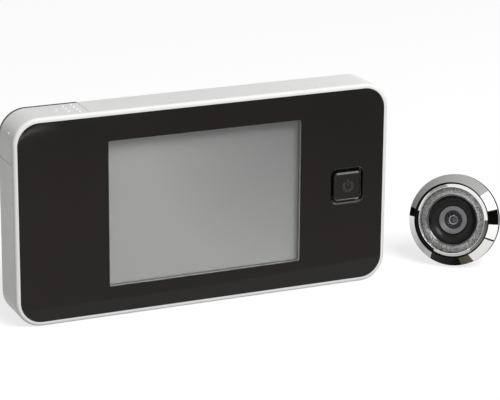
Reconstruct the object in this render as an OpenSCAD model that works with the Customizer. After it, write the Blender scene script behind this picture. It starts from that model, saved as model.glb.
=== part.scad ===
// Peephole door camera: a slim door monitor with its separate viewer camera.
// X runs to the right, Y runs from the front face to the door, Z is up.
// The origin is the middle of the monitor's bottom face.

/* [Monitor housing] */
// Width of the monitor
body_w = 125; // [110:1:150]
// Height of the monitor
body_h = 66; // [64:1:80]
// Depth of the monitor without its door bracket
body_d = 14; // [14:0.1:18]
// Radius of the outline's corners
corner_r = 8.4; // [6:0.1:12]
// Thickness of the side walls, which is also the white rim round the panel
wall = 1.4; // [1.2:0.1:1.8]
// Rounding of the rim's front edge
rim_round = 1.0; // [0.4:0.1:1.1]
// Rounding of the walls' back edge
back_round = 0.5; // [0.2:0.1:0.8]
// Thickness of the wall behind the front panel
front_wall = 1.2; // [1:0.1:1.4]

/* [Front panel] */
// Thickness of the black front panel
panel_t = 1.4; // [1.2:0.1:1.5]
// Width of the display window
window_w = 64.4; // [56:0.1:66]
// Height of the display window
window_h = 46.7; // [40:0.1:47]
// Height of the window's middle above the middle of the monitor
window_lift = 0.2; // [-0.5:0.1:0.5]
// Radius of the window's corners
window_r = 0.6; // [0.3:0.1:1.5]
// Gap round the panel and round the window's clear insert
panel_gap = 0.05; // [0.03:0.01:0.1]

/* [Display] */
// Thickness of the clear window insert
insert_t = 1.2; // [0.8:0.1:1.2]
// Width of the foam gasket round the display
gasket_w = 1.0; // [0.6:0.1:1.2]
// Distance from the front wall's back face to the screen
screen_sink = 0.2; // [0.1:0.1:0.5]
// Border that the display cell hides behind the gasket
screen_border = 2.1; // [1.6:0.1:2.3]
// Thickness of the display cell with its light guide
screen_t = 2.2; // [1.6:0.1:2.4]
// Thickness of the display tray's walls
tray_wall = 0.7; // [0.5:0.1:0.9]

/* [Power button] */
// Distance of the button's middle from the monitor's right side
button_inset = 13.9; // [12:0.1:15]
// Side of the square button
button_size = 9.2; // [8:0.1:10]
// Radius of the button's corners
button_r = 1.2; // [0.8:0.1:2]
// Gap between the button and the panel
button_gap = 0.85; // [0.3:0.05:0.9]
// How far the button stands out of the panel
button_proud = 0.5; // [0.3:0.1:0.8]
// Bevel of the button's and the opening's edges
button_bevel = 0.5; // [0.2:0.1:0.6]
// Travel of the button
button_travel = 0.4; // [0.2:0.05:0.5]

/* [Batteries] */
// Diameter of a battery cell
cell_d = 10.2; // [10:0.1:10.5]
// Length of a battery cell with its nub
cell_l = 44.5; // [43.5:0.1:44.5]
// Height of the bay's floor above the monitor's bottom
bay_floor_z = 10.2; // [9.9:0.1:10.6]

/* [Battery cover] */
// Width of the cover that takes in the top left corner
cover_w = 24.9; // [24.5:0.1:28]
// Height of the cover
cover_h = 14.1; // [11:0.1:16]
// Distance from the front face to the cover's front edge
seam_setback = 1.65; // [1.6:0.05:2]
// Thickness of the rear cover's dark rim behind the battery cover
dark_rim = 1.0; // [0.8:0.1:1.2]
// Gap round the battery cover
seam = 0.15; // [0.1:0.05:0.2]
// Radius of a grip dot
dot_r = 0.5; // [0.4:0.05:0.7]

/* [Rear cover] */
// Thickness of the rear cover
rear_t = 1.4; // [1.2:0.1:1.6]
// Width of the cable pocket
pocket_w = 30; // [26:1:32]
// Height of the cable pocket
pocket_h = 24; // [20:1:26]
// Depth of the cable pocket
pocket_d = 4.6; // [4.4:0.1:4.8]

/* [Door bracket] */
// Width of the steel door bracket
bracket_w = 76; // [72:1:90]
// Height of the door bracket
bracket_h = 48; // [46:1:50]
// Thickness of the bracket's steel
bracket_t = 1.2; // [1:0.1:1.5]
// Radius of the bracket's middle hole
door_hole_r = 7.2; // [7:0.1:8]
// Radius of the bracket's screw holes
screw_hole_r = 2.25; // [1.8:0.05:2.5]
// Distance between the screw holes across
screw_span_x = 64; // [60:1:66]
// Distance between the screw holes up and down
screw_span_z = 36; // [32:1:38]
// How far the bracket drops to come off its hooks
hook_travel = 4.4; // [3.6:0.1:4.8]

/* [Camera head] */
// Outer radius of the camera's bezel
bezel_r = 15.1; // [14:0.1:17]
// Height of the bezel's side wall
bezel_side = 2; // [1.5:0.1:2.5]
// Radius where the bezel meets the inner ring
groove_r = 12.5; // [12:0.1:12.8]
// Height of the bezel's crown above its rim
crown_h = 3.3; // [2.8:0.1:3.8]
// Inner radius of the bright inner ring
inner_ring_r = 10.9; // [10.2:0.05:11.1]
// Inner radius of the grained ring
grain_r = 8.4; // [7.6:0.1:8.5]
// Outer radius of the lens holder
holder_r = 4.6; // [4.3:0.1:5]
// Radius of the front lens
lens_r = 3.0; // [2.6:0.1:3.2]

/* [Camera barrel] */
// Outer radius of the threaded barrel
barrel_r = 6.0; // [5.6:0.1:6.4]
// Wall of the barrel
barrel_wall = 0.8; // [0.6:0.1:1]
// Length of the barrel behind the bezel
barrel_l = 37; // [35:1:44]
// Radius of the barrel's plain lead-in end
lead_r = 5.6; // [5.5:0.05:5.7]
// Length of the lead-in end
lead_l = 6; // [3:0.5:7]
// Pitch of the barrel's thread
thread_pitch = 1.0; // [0.75:0.05:1.25]
// Turns that the clamp nut can be screwed back
nut_turns = 8; // [4:1:8]
// Length of the clamp nut's sleeve
nut_sleeve_l = 8; // [6:0.5:9]
// Radius of the clamp nut's flange
nut_flange_r = 8.6; // [8:0.1:9]

/* [Camera placing] */
// Distance of the camera's rim from the monitor's right side
camera_aside = 27.6; // [24:0.1:40]
// How far the camera's rim stands in front of the monitor's middle
camera_forward = 2.65; // [-10:0.05:20]
// Angle by which the camera looks to the left
camera_turn = 42.7; // [0:0.1:60]

/* [Hidden] */

$fn = 72;
// Overrun of every cut
over = 1;
// Gap between a moving piece and what it passes
run_gap = 0.3;
// Gap of a turning or sliding fit
fit_gap = 0.05;

// Depths from the front face to the door
front_y = -body_d / 2;
back_y = body_d / 2;
panel_back_y = front_y + panel_t;
front_wall_y = panel_back_y + front_wall;
screen_y = front_wall_y + screen_sink;
tray_back_y = screen_y + screen_t + tray_wall;
board_gap = 0.8;
board_t = 1.2;
board_y = tray_back_y + board_gap;
board_back_y = board_y + board_t;
rear_y = back_y - rear_t;
left_x = -body_w / 2;
right_x = body_w / 2;
half_h = body_h / 2;

// Sizes of the monitor's inner pieces
aperture_w = window_w + 2 * gasket_w;
aperture_h = window_h + 2 * gasket_w;
screen_w = window_w + 2 * screen_border;
screen_h = window_h + 2 * screen_border;
tray_w = screen_w + 2 * tray_wall + 2 * panel_gap;
tray_h = screen_h + 2 * tray_wall + 2 * panel_gap;
tray_r = 1;
ribbon_w = 18;
ribbon_t = 0.25;
ribbon_rise = 5;
ribbon_reach = 2.4;

// Power button and its switch
button_x = right_x - button_inset;
button_hole = button_size + 2 * button_gap;
button_hole_r = button_r + button_gap;
button_overlap = 0.8;
button_flange = button_hole + 2 * button_overlap;
flange_t = 0.8;
flange_play = 0.2;
flange_y = front_wall_y + flange_play;
stem_y = flange_y + flange_t;
switch_size = 6;
stem_r = 1.7;
stem_l = 1.8;
stem_gap = 0.1;
switch_y = stem_y + button_travel + stem_gap;

// Battery bay
cell_play = 0.25;
bore_r = cell_d / 2 + cell_play;
bay_rib = 0.5;
cell_pitch = 2 * bore_r + bay_rib;
bay_edge = 0.5;
bay_x = left_x + wall + run_gap;
bay_w = cell_pitch + 2 * bore_r + 2 * bay_edge;
cell_x = [bay_x + bay_edge + bore_r, bay_x + bay_edge + bore_r + cell_pitch];
bay_depth = 8.6;
bay_floor_t = 1.2;
bay_base_z = bay_floor_z + bay_floor_t;
contact_room = 5.1;
cell_z = bay_base_z + contact_room;
cell_top_z = cell_z + cell_l;
bay_drop = 0.8;
bay_h = cell_top_z - bay_floor_z - bay_drop;
nub_r = 1.9;
nub_h = 0.8;
cell_round = 0.5;
bay_hole_margin = 0.6;

// Contact spring: a conical coil of round wire
wire_r = 0.3;
spring_turns = 4;
spring_low_r = 3.6;
spring_top_r = 1.9;
spring_rings = 8;
spring_sides = 6;
spring_top_gap = 0.2;
leaf_t = 0.3;
leaf_w = 5;
leaf_l = 7;

// Battery cover
cover_x = left_x + cover_w;
cover_z = body_h - cover_h;
cover_y = front_y + seam_setback;
cover_back_y = back_y - dark_rim;
tongue_l = 4;
tongue_t = 0.9;
tongue_w = 3.6;
tongue_y = board_back_y + 0.6;
bridge_t = 0.4;
bridge_w = 6.4;
bridge_gap = 0.3;
bridge_rib = 3.2;
dot_h = 0.3;
dot_pitch_x = 3.05;
dot_pitch_y = 2.7;
dot_first_x = 16.3;
dot_row_y = 0.4;
side_dot_angle = 21.7;
side_dot_y = -1.5;
// Rows of the grip triangle: column number, count of dots
dot_columns = [[0, 1], [1, 3], [2, 4]];

// Rear cover
rear_gap = 0.1;
pocket_r = 3;
pocket_wall = 1.2;
pocket_y = back_y - pocket_d;
pocket_floor = 1.1;
socket_w = 12;
socket_h = 4.4;
socket_out = 1.6;
socket_drop = 7;
socket_wall = 1;
socket_gap = 0.3;

// Screws
screw_r = 0.95;
pilot_r = 1.0;
pass_r = 1.15;
head_r = 1.9;
head_h = 1.2;
boss_r = 2.1;
board_screw_l = 4;
case_screw_l = 8;
screw_end_gap = 0.4;
cup_r = 3.2;
cup_floor = 1.0;
cup_sink = 1.9;
case_boss_y = back_y - cup_sink - cup_floor;
slot_w = 0.4;
slot_d = 0.5;
board_edge = 0.8;
board_aside = 0.6;
board_right_room = 8;
board_x0 = bay_x + bay_w + board_aside;
board_x1 = right_x - wall - board_right_room;
board_low_z = wall + board_edge;
board_screw_in = 2.7;
hole_left_in = 5;
hole_right_in = 3;
hole_right_lift = 1;
board_holes = [[board_x0 + hole_left_in, wall + board_screw_in],
    [board_x0 + hole_left_in, body_h - wall - board_screw_in],
    [board_x1 - hole_right_in, wall + board_screw_in + hole_right_lift],
    [board_x1 - hole_right_in, body_h - wall - board_screw_in - hole_right_lift]];
case_in_x = 5.2;
case_in_z = 8.4;
case_left_x = 6.8;
case_left_z = 6.6;
case_holes = [[right_x - case_in_x, case_in_z], [right_x - case_in_x, body_h - case_in_z],
    [left_x + case_left_x, case_left_z]];

// Chips and coils on the board's back
chip_t = 1.4;
chip_side = 12;
chip_x = 36;
coil_r = 2.4;
coil_h = 2.4;
coil_gap = 1;

// Door bracket
ear_edge = 3.5;
bracket_gap = 0.15;
bracket_y = back_y + bracket_gap;
bracket_r = 4;
bracket_holes = [for (sx = [-1, 1], sz = [-1, 1])
    [sx * screw_span_x / 2, half_h + sz * screw_span_z / 2]];
hook_x = 20;
hook_w = 5;
neck_h = 3;
tip_h = 4;
tip_t = 1.2;
hook_rows = [-17, 15];
hook_gap = 0.3;
slot_play = 1;
slot_h = neck_h + tip_h + slot_play;

// Camera unit along its own axis, with zero at the bezel's rim
barrel_in_r = barrel_r - barrel_wall;
tail_z = -bezel_side - barrel_l;
camera_tilt = atan((bezel_r - lead_r) / barrel_l);
rim_z = bezel_r * cos(camera_tilt) + bezel_side * sin(camera_tilt);
ring_gap = 0.05;
crown_bow_r = 9;
ring_drop = 0.15;
ring_groove = 0.45;
ring_slope = 0.7;
ring_lip = 0.15;
grain_out_drop = 3.1;
grain_in_drop = 1.1;
hood_drop = 1.9;
pupil_drop = 3.1;
head_seat = 0.9;
ring_top_z = crown_h - ring_drop;
grain_out_z = crown_h - grain_out_drop;
grain_in_z = crown_h - grain_in_drop;
hood_z = crown_h - hood_drop;
pupil_z = crown_h - pupil_drop;
flange_z = -head_seat;
head_floor_t = 1.1;
holder_l = 7.3;
bowl_low_r = 5.4;
bowl_depth = 1.9;
bowl_lip = 0.15;
pupil_r = 1.3;
pupil_in_r = 0.8;
sensor_size = 4.2;
sensor_t = 0.7;
camera_board_t = 0.8;
gasket_t = 1.2;
gasket_inset = 0.6;
gasket_out_r = bezel_r - gasket_inset;
nut_sleeve_r = 6.9;
nut_room = 4;
nut_z = -bezel_side - gasket_t - nut_room;
nut_flange_t = 2;
washer_edge = 0.4;
washer_gap = 0.12;
washer_r = nut_flange_r + washer_edge;
washer_t = 1;
coin_slot_w = 1.6;
coin_slot_d = 1;
grommet_l = 4;
grommet_hole_r = 1.8;
lens_t = 0.9;
rear_lens_t = 1.6;
lens_sink = 0.2;
lens_bow_r = 8;
lens_gap = 0.02;
aperture_t = 1;
sensor_z = hood_z - holder_l;
bow_fn = 180;
// Centre of the bow that gives the bezel's crown its slight bulge
bow_chord = [groove_r - bezel_r, crown_h];
bow_len = norm(bow_chord);
bow_drop = sqrt(crown_bow_r * crown_bow_r - bow_len * bow_len / 4);
bow_at = [(bezel_r + groove_r) / 2 - bow_drop * bow_chord[1] / bow_len,
    crown_h / 2 + bow_drop * bow_chord[0] / bow_len];
camera_at = [right_x + camera_aside, -camera_forward, rim_z];

// Places on the monitor's face: x across, y up from the middle, z towards the viewer
module face(y) {
    translate([0, y, half_h]) rotate([90, 0, 0]) children();
}

// A flat piece from depth y, t thick
module slab(y, t) {
    face(y + t) linear_extrude(t) children();
}

module rounded(w, h, r) {
    square([w - 2 * r, h], center = true);
    square([w, h - 2 * r], center = true);
    for (sx = [-1, 1], sy = [-1, 1])
        translate([sx * (w / 2 - r), sy * (h / 2 - r)]) circle(r);
}

// Carries a profile round a rounded rectangle; the profile's x is counted from the corner's centre
module swept_frame(w, h, r) {
    for (i = [0:3]) {
        hx = (i % 2 == 0 ? w : h) / 2;
        hy = (i % 2 == 0 ? h : w) / 2;
        rotate([0, 0, 90 * i]) translate([hx - r, hy - r, 0]) {
            rotate_extrude(angle = 90) children();
            rotate([90, 0, 0]) linear_extrude(2 * (hy - r)) children();
        }
    }
}

module quarter(r) {
    intersection() {
        circle(r);
        square(r);
    }
}

// Section of the housing's wall, from its back edge up to the rounded rim
module wall_profile() {
    translate([corner_r - wall, 0]) {
        square([wall - rim_round, body_d]);
        square([wall - back_round, body_d - rim_round]);
        translate([0, back_round]) square([wall, body_d - rim_round - back_round]);
        translate([wall - rim_round, body_d - rim_round]) quarter(rim_round);
        translate([wall - back_round, back_round]) mirror([0, 1]) quarter(back_round);
    }
}

// A swept square section, t thick inside the outline, from depth y0 to y1
module ring_band(t, y0, y1) {
    face(y1) swept_frame(body_w, body_h, corner_r)
        translate([corner_r - t, 0]) square([t, y1 - y0]);
}

// The corner that the battery cover takes in, grown by g on its two seams
module corner_space(g) {
    translate([left_x - over, front_y - over, cover_z - g])
        cube([cover_w + over + g, body_d + 2 * over, cover_h + over + g]);
}

// A straight pin or hole from the front to the back, at x and z
module along_y(p, y, l, r) {
    translate([p[0], y, p[1]]) rotate([-90, 0, 0]) cylinder(r = r, h = l);
}

// An edge bevel: a swept triangle of side b at the outline's outer corner
module bevel_ring(w, r, b) {
    swept_frame(w, w, r) polygon([[r - b, over], [r - b, 0], [r, -b], [r + over, -b], [r + over, over]]);
}

module front_housing() {
    color("white") difference() {
        union() {
            face(back_y) swept_frame(body_w, body_h, corner_r) wall_profile();
            slab(panel_back_y, front_wall) rounded(body_w - wall, body_h - wall, corner_r - wall / 2);
            for (p = board_holes) along_y(p, front_wall_y, board_y - front_wall_y, boss_r);
            for (p = case_holes) along_y(p, front_wall_y, case_boss_y - front_wall_y, boss_r);
        }
        intersection() {
            ring_band(wall + seam, cover_y, back_y + over);
            corner_space(seam);
        }
        slab(panel_back_y - over, front_wall + 2 * over) {
            translate([0, window_lift]) rounded(aperture_w, aperture_h, window_r + gasket_w);
            translate([button_x, 0]) rounded(button_hole, button_hole, button_hole_r);
        }
        translate([bay_x + bay_hole_margin, panel_back_y - over, bay_floor_z])
            cube([bay_w - 2 * bay_hole_margin, front_wall + 2 * over,
                body_h - bay_floor_z - wall - seam - bay_hole_margin]);
        for (p = board_holes) along_y(p, board_y - board_screw_l, board_screw_l + over, pilot_r);
        for (p = case_holes) along_y(p, case_boss_y - case_screw_l, case_screw_l + over, pilot_r);
    }
}

module front_panel() {
    inner_w = body_w - 2 * wall - 2 * panel_gap;
    inner_h = body_h - 2 * wall - 2 * panel_gap;
    color("#24211f") difference() {
        slab(front_y, panel_t) rounded(inner_w, inner_h, corner_r - wall - panel_gap);
        slab(front_y - over, panel_t + 2 * over) {
            translate([0, window_lift]) rounded(window_w, window_h, window_r);
            translate([button_x, 0]) rounded(button_hole, button_hole, button_hole_r);
        }
        translate([button_x, 0, 0]) face(front_y) mirror([0, 0, 1])
            swept_frame(button_hole + 2 * button_bevel, button_hole + 2 * button_bevel,
                button_hole_r + button_bevel)
                polygon([[button_hole_r - button_bevel, -over], [button_hole_r + button_bevel, -over],
                    [button_hole_r + button_bevel, 0], [button_hole_r, button_bevel],
                    [button_hole_r - button_bevel, button_bevel]]);
    }
}

module display_window() {
    color("lightgrey", 0.4) slab(panel_back_y - insert_t, insert_t)
        translate([0, window_lift])
            rounded(window_w - 2 * panel_gap, window_h - 2 * panel_gap, window_r - panel_gap);
}

module display_gasket() {
    color("#3a3834") slab(panel_back_y, screen_y - panel_back_y) translate([0, window_lift])
        difference() {
            rounded(aperture_w, aperture_h, window_r + gasket_w);
            rounded(window_w, window_h, window_r);
        }
}

module display_cell() {
    color("#808285") slab(screen_y, screen_t) translate([0, window_lift])
        square([screen_w, screen_h], center = true);
}

module display_tray() {
    color("silver") difference() {
        slab(front_wall_y, tray_back_y - front_wall_y) translate([0, window_lift])
            rounded(tray_w, tray_h, tray_r);
        slab(front_wall_y - over, screen_y + screen_t - front_wall_y + over) translate([0, window_lift])
            square([screen_w + 2 * panel_gap, screen_h + 2 * panel_gap], center = true);
    }
}

module display_ribbon() {
    low_z = half_h + window_lift - tray_h / 2 - ribbon_t - panel_gap;
    back = board_y - panel_gap;
    color("#c98a2b") translate([-ribbon_w / 2, 0, 0]) rotate([90, 0, 90]) linear_extrude(ribbon_w)
        polygon([[back - ribbon_reach, low_z], [back, low_z], [back, low_z + ribbon_rise],
            [back - ribbon_t, low_z + ribbon_rise], [back - ribbon_t, low_z + ribbon_t],
            [back - ribbon_reach, low_z + ribbon_t]]);
}

module power_button() {
    cap_y = front_y - button_proud;
    color("#3a3836") difference() {
        union() {
            translate([button_x, 0, 0]) slab(cap_y, flange_y - cap_y)
                rounded(button_size, button_size, button_r);
            translate([button_x, 0, 0]) slab(flange_y, flange_t)
                rounded(button_flange, button_flange, button_r);
        }
        translate([button_x, 0, 0]) face(cap_y) bevel_ring(button_size, button_r, button_bevel);
    }
}

module switch_stem() {
    color("white") along_y([button_x, half_h], stem_y, stem_l, stem_r);
}

module power_switch() {
    color("#30302f") difference() {
        translate([button_x, 0, 0]) slab(switch_y, board_y - switch_y)
            square(switch_size, center = true);
        along_y([button_x, half_h], switch_y - over,
            stem_y + stem_l + button_travel + stem_gap - switch_y + over, stem_r + stem_gap);
    }
}

module main_board() {
    color("darkgreen") difference() {
        translate([board_x0, board_y, board_low_z])
            cube([board_x1 - board_x0, board_t, body_h - 2 * board_low_z]);
        for (p = board_holes) along_y(p, board_y - over, board_t + 2 * over, pass_r);
    }
}

// A chip on the board's back: across, up, width, height, thickness
module chip(x, z, w, h, t) {
    translate([x - w / 2, board_back_y, half_h + z - h / 2]) cube([w, t, h]);
}

module board_chips() {
    color("#222222") {
        chip(chip_x, -chip_side, chip_side, chip_side, chip_t);
        chip(chip_x, chip_side / 2, chip_side, 2 * chip_side / 3, chip_t);
        chip(-pocket_w, -chip_side, chip_side / 2, chip_side / 2, chip_t);
        chip(-pocket_w, chip_side / 2, chip_side / 2, chip_side, chip_t);
    }
}

module board_coils() {
    color("dimgray") for (x = [0, 2 * coil_r + coil_gap])
        along_y([chip_x - x, half_h + 1.5 * chip_side], board_back_y, coil_h, coil_r);
}

module camera_socket() {
    depth = pocket_y + socket_out - board_back_y;
    mouth_w = socket_w - 2 * socket_wall;
    mouth_h = socket_h - 2 * socket_wall;
    color("ivory") translate([0, 0, -socket_drop]) difference() {
        slab(board_back_y, depth) square([socket_w, socket_h], center = true);
        slab(board_back_y + socket_wall, depth) square([mouth_w, mouth_h], center = true);
    }
}

// A pan head screw whose head is towards the door
module screw(p, y, l) {
    difference() {
        union() {
            along_y(p, y - l, l, screw_r);
            along_y(p, y, head_h, head_r);
        }
        for (a = [0, 90]) translate([p[0], y + head_h - slot_d, p[1]]) rotate([0, a, 0])
            translate([-head_r / 2, 0, -slot_w / 2]) cube([head_r, over, slot_w]);
    }
}

module board_screws() {
    color("silver") for (p = board_holes) screw(p, board_back_y, board_t + board_screw_l - screw_end_gap);
}

module case_screws() {
    color("silver") for (p = case_holes)
        screw(p, case_boss_y + cup_floor, cup_floor + case_screw_l - screw_end_gap);
}

module battery_bay() {
    inset = wall + run_gap;
    color("#2c2c2c") difference() {
        intersection() {
            translate([bay_x, -bay_depth / 2, bay_floor_z]) cube([bay_w, bay_depth, bay_h]);
            slab(-bay_depth, 2 * bay_depth)
                rounded(body_w - 2 * inset, body_h - 2 * inset, corner_r - inset);
        }
        for (x = cell_x) translate([x, 0, bay_base_z]) cylinder(r = bore_r, h = bay_h + over);
    }
}

// A battery cell that stands on its flat end
module cell() {
    body_l = cell_l - nub_h;
    rotate_extrude() {
        square([cell_d / 2 - cell_round, body_l]);
        translate([0, cell_round]) square([cell_d / 2, body_l - 2 * cell_round]);
        translate([cell_d / 2 - cell_round, body_l - cell_round]) quarter(cell_round);
        translate([cell_d / 2 - cell_round, cell_round]) mirror([0, 1]) quarter(cell_round);
        translate([0, body_l - cell_round]) square([nub_r, cell_round + nub_h]);
    }
}

module battery_cell_left() {
    color("slategray") translate([cell_x[0], 0, cell_z]) cell();
}

module battery_cell_right() {
    color("slategray") translate([cell_x[1], 0, cell_top_z]) mirror([0, 0, 1]) cell();
}

// Path of the coil's wire: each turn climbs and draws in
function spring_at(t) = let (
    s = t / spring_turns,
    r = spring_low_r + (spring_top_r - spring_low_r) * s)
    [r * cos(360 * t), r * sin(360 * t), (contact_room - leaf_t - 2 * wire_r - spring_top_gap) * s];
spring_steps = spring_turns * spring_rings;
spring_path = [for (i = [0:spring_steps]) spring_at(i / spring_rings)];
spring_points = [for (i = [0:spring_steps], k = [0:spring_sides - 1]) let (
    a = 360 * i / spring_rings,
    b = 360 * k / spring_sides,
    c = wire_r * cos(b))
    spring_path[i] + [c * cos(a), c * sin(a), wire_r * sin(b)]];
spring_faces = concat(
    [for (i = [0:spring_steps - 1], k = [0:spring_sides - 1]) let (
        m = (k + 1) % spring_sides, p = i * spring_sides)
        [p + k, p + m, p + spring_sides + m]],
    [for (i = [0:spring_steps - 1], k = [0:spring_sides - 1]) let (
        m = (k + 1) % spring_sides, p = i * spring_sides)
        [p + k, p + spring_sides + m, p + spring_sides + k]],
    [for (k = [1:spring_sides - 2]) [0, k + 1, k]],
    [for (k = [1:spring_sides - 2]) let (p = spring_steps * spring_sides) [p, p + k, p + k + 1]]);
spring_gap = min([for (i = [0:spring_steps], j = [0:spring_steps])
    if (j - i > spring_rings / 2) norm(spring_path[i] - spring_path[j])]) - 2 * wire_r;
echo(least_gap_in_the_contact_spring = spring_gap);

module contact_spring() {
    color("silver") translate([cell_x[0], 0, bay_base_z + leaf_t + wire_r])
        polyhedron(spring_points, spring_faces);
}

// Plate under the spring and a folded leaf under the other cell
module contact_leaf() {
    top = contact_room - leaf_t;
    color("silver") {
        translate([cell_x[0], 0, bay_base_z]) cylinder(r = spring_low_r + wire_r, h = leaf_t);
        translate([cell_x[1] - leaf_l / 2, leaf_w / 2, bay_base_z]) rotate([90, 0, 0])
            linear_extrude(leaf_w)
                polygon([[0, 0], [leaf_l, 0], [leaf_l, leaf_t], [leaf_t, leaf_t],
                    [leaf_t, top - 2 * leaf_t], [leaf_l / 2, top - leaf_t], [leaf_l, top - 2 * leaf_t],
                    [leaf_l, top - leaf_t], [leaf_l / 2, top], [0, top - leaf_t]]);
    }
}

module cover_contact() {
    color("silver") translate([cell_x[0] - nub_r, -bridge_w / 2, cell_top_z + bridge_gap])
        cube([cell_pitch + 2 * nub_r, bridge_w, bridge_t]);
}

module battery_cover() {
    top_z = body_h - wall;
    rib_z = cell_top_z + bridge_gap + bridge_t;
    color("white") {
        intersection() {
            ring_band(wall, cover_y + seam, cover_back_y - seam);
            corner_space(0);
        }
        translate([cell_x[0] - nub_r, -bridge_rib / 2, rib_z])
            cube([cell_pitch + 2 * nub_r, bridge_rib, top_z - rib_z + wall / 2]);
        translate([cover_x - tongue_l, tongue_y, top_z - seam - tongue_t]) {
            cube([2 * tongue_l, tongue_w, tongue_t]);
            cube([tongue_l - seam, tongue_w, tongue_t + seam + wall / 2]);
        }
        for (c = dot_columns, k = [0:c[1] - 1])
            translate([left_x + dot_first_x + c[0] * dot_pitch_x,
                dot_row_y + (k - (c[1] - 1) / 2) * dot_pitch_y, body_h + dot_h - dot_r])
                sphere(dot_r);
        translate([left_x + corner_r, side_dot_y, body_h - corner_r]) rotate([0, side_dot_angle, 0])
            translate([-corner_r - dot_h + dot_r, 0, 0]) sphere(dot_r);
    }
}

// The slots that the bracket's hooks enter
module hook_slots() {
    for (sx = [-1, 1], z = hook_rows)
        translate([sx * hook_x - hook_w / 2 - hook_gap, rear_y - over,
            half_h + z + neck_h + hook_gap - slot_h - hook_travel + tip_h])
            cube([hook_w + 2 * hook_gap, rear_t + 2 * over, slot_h + hook_travel - tip_h]);
}

module rear_cover() {
    inset = wall + rear_gap;
    color("#2b2b2b") difference() {
        union() {
            slab(rear_y, rear_t) rounded(body_w - 2 * inset, body_h - 2 * inset, corner_r - inset);
            intersection() {
                slab(cover_back_y, dark_rim) rounded(body_w, body_h, corner_r);
                corner_space(0);
            }
            slab(pocket_y - pocket_floor, rear_y - pocket_y + pocket_floor + rear_t / 2)
                rounded(pocket_w + 2 * pocket_wall, pocket_h + 2 * pocket_wall, pocket_r + pocket_wall);
            for (p = case_holes) along_y(p, case_boss_y, back_y - rear_t / 2 - case_boss_y, cup_r);
        }
        slab(pocket_y, pocket_d + over) rounded(pocket_w, pocket_h, pocket_r);
        translate([0, 0, -socket_drop]) slab(pocket_y - pocket_floor - over, pocket_floor + 2 * over)
            square([socket_w + 2 * socket_gap, socket_h + 2 * socket_gap], center = true);
        for (p = case_holes) {
            along_y(p, case_boss_y + cup_floor, cup_sink + over, head_r + socket_gap);
            along_y(p, case_boss_y - over, cup_floor + 2 * over, pass_r);
        }
        hook_slots();
    }
}

module door_bracket() {
    color("silver") difference() {
        union() {
            slab(bracket_y, bracket_t) rounded(bracket_w, bracket_h, bracket_r);
            for (p = bracket_holes) along_y(p, bracket_y, bracket_t, screw_hole_r + ear_edge);
            for (sx = [-1, 1], z = hook_rows) translate([sx * hook_x - hook_w / 2, 0, half_h + z]) {
                translate([0, rear_y - bracket_gap - tip_t, 0])
                    cube([hook_w, bracket_y + bracket_t - rear_y + bracket_gap + tip_t, neck_h]);
                translate([0, rear_y - bracket_gap - tip_t, 0]) cube([hook_w, tip_t, neck_h + tip_h]);
            }
        }
        along_y([0, half_h], bracket_y - over, bracket_t + 2 * over, door_hole_r);
        for (p = bracket_holes) along_y(p, bracket_y - over, bracket_t + 2 * over, screw_hole_r);
    }
}

// Puts a piece of the camera unit where it lies, tilted on its bezel and its tail
module camera_place() {
    translate(camera_at) rotate([90 - camera_tilt, 0, -camera_turn]) children();
}

module camera_bezel() {
    color("gainsboro") camera_place() rotate_extrude() {
        intersection() {
            translate([groove_r, 0]) square([bezel_r - groove_r, crown_h]);
            translate(bow_at) circle(crown_bow_r, $fn = bow_fn);
        }
        translate([groove_r, -bezel_side]) square([bezel_r - groove_r, bezel_side]);
    }
}

module inner_ring() {
    out_r = groove_r - ring_groove;
    color("gainsboro") camera_place() rotate_extrude()
        polygon([[inner_ring_r, flange_z], [out_r, flange_z], [out_r, ring_top_z - ring_slope],
            [inner_ring_r + ring_lip, ring_top_z], [inner_ring_r, ring_top_z]]);
}

module grain_ring() {
    out_r = inner_ring_r - ring_gap;
    color("lightslategray") camera_place() rotate_extrude()
        polygon([[grain_r, flange_z], [out_r, flange_z], [out_r, grain_out_z], [grain_r, grain_in_z]]);
}

module lens_hood() {
    out_r = grain_r - ring_gap;
    bowl_r = (pow(out_r - bowl_lip - bowl_low_r, 2) + pow(bowl_depth, 2)) / (2 * bowl_depth);
    color("black") camera_place() rotate_extrude() difference() {
        translate([holder_r + ring_gap, flange_z])
            square([out_r - holder_r - ring_gap, grain_in_z - flange_z]);
        translate([bowl_low_r, grain_in_z - bowl_depth + bowl_r]) circle(bowl_r, $fn = bow_fn);
    }
}

module lens_holder() {
    color("dimgray") camera_place() rotate_extrude()
        difference() {
            translate([0, hood_z - holder_l]) square([holder_r, holder_l]);
            translate([0, hood_z - holder_l - over]) square([lens_r, holder_l + 2 * over]);
        }
}

module front_lens() {
    out_r = lens_r - lens_gap;
    top = hood_z - lens_sink;
    color("#3a2a5a", 0.6) camera_place() rotate_extrude()
        intersection() {
            translate([0, top - lens_t]) square([out_r, lens_t]);
            translate([0, top - lens_bow_r]) circle(lens_bow_r, $fn = bow_fn);
        }
}

module aperture_ring() {
    color("dimgray") camera_place() rotate_extrude()
        translate([pupil_in_r, pupil_z - aperture_t]) square([lens_r - lens_gap - pupil_in_r, aperture_t]);
}

module rear_lens() {
    top = pupil_z - aperture_t;
    color("#3a2a5a", 0.6) camera_place() rotate_extrude()
        translate([0, top - rear_lens_t]) square([lens_r - lens_gap, rear_lens_t]);
}

module image_sensor() {
    color("#20303a") camera_place() translate([-sensor_size / 2, -sensor_size / 2, sensor_z])
        cube([sensor_size, sensor_size, sensor_t]);
}

module sensor_board() {
    color("darkgreen") camera_place() translate([0, 0, sensor_z - camera_board_t])
        cylinder(r = barrel_in_r - ring_gap, h = camera_board_t);
}

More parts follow.
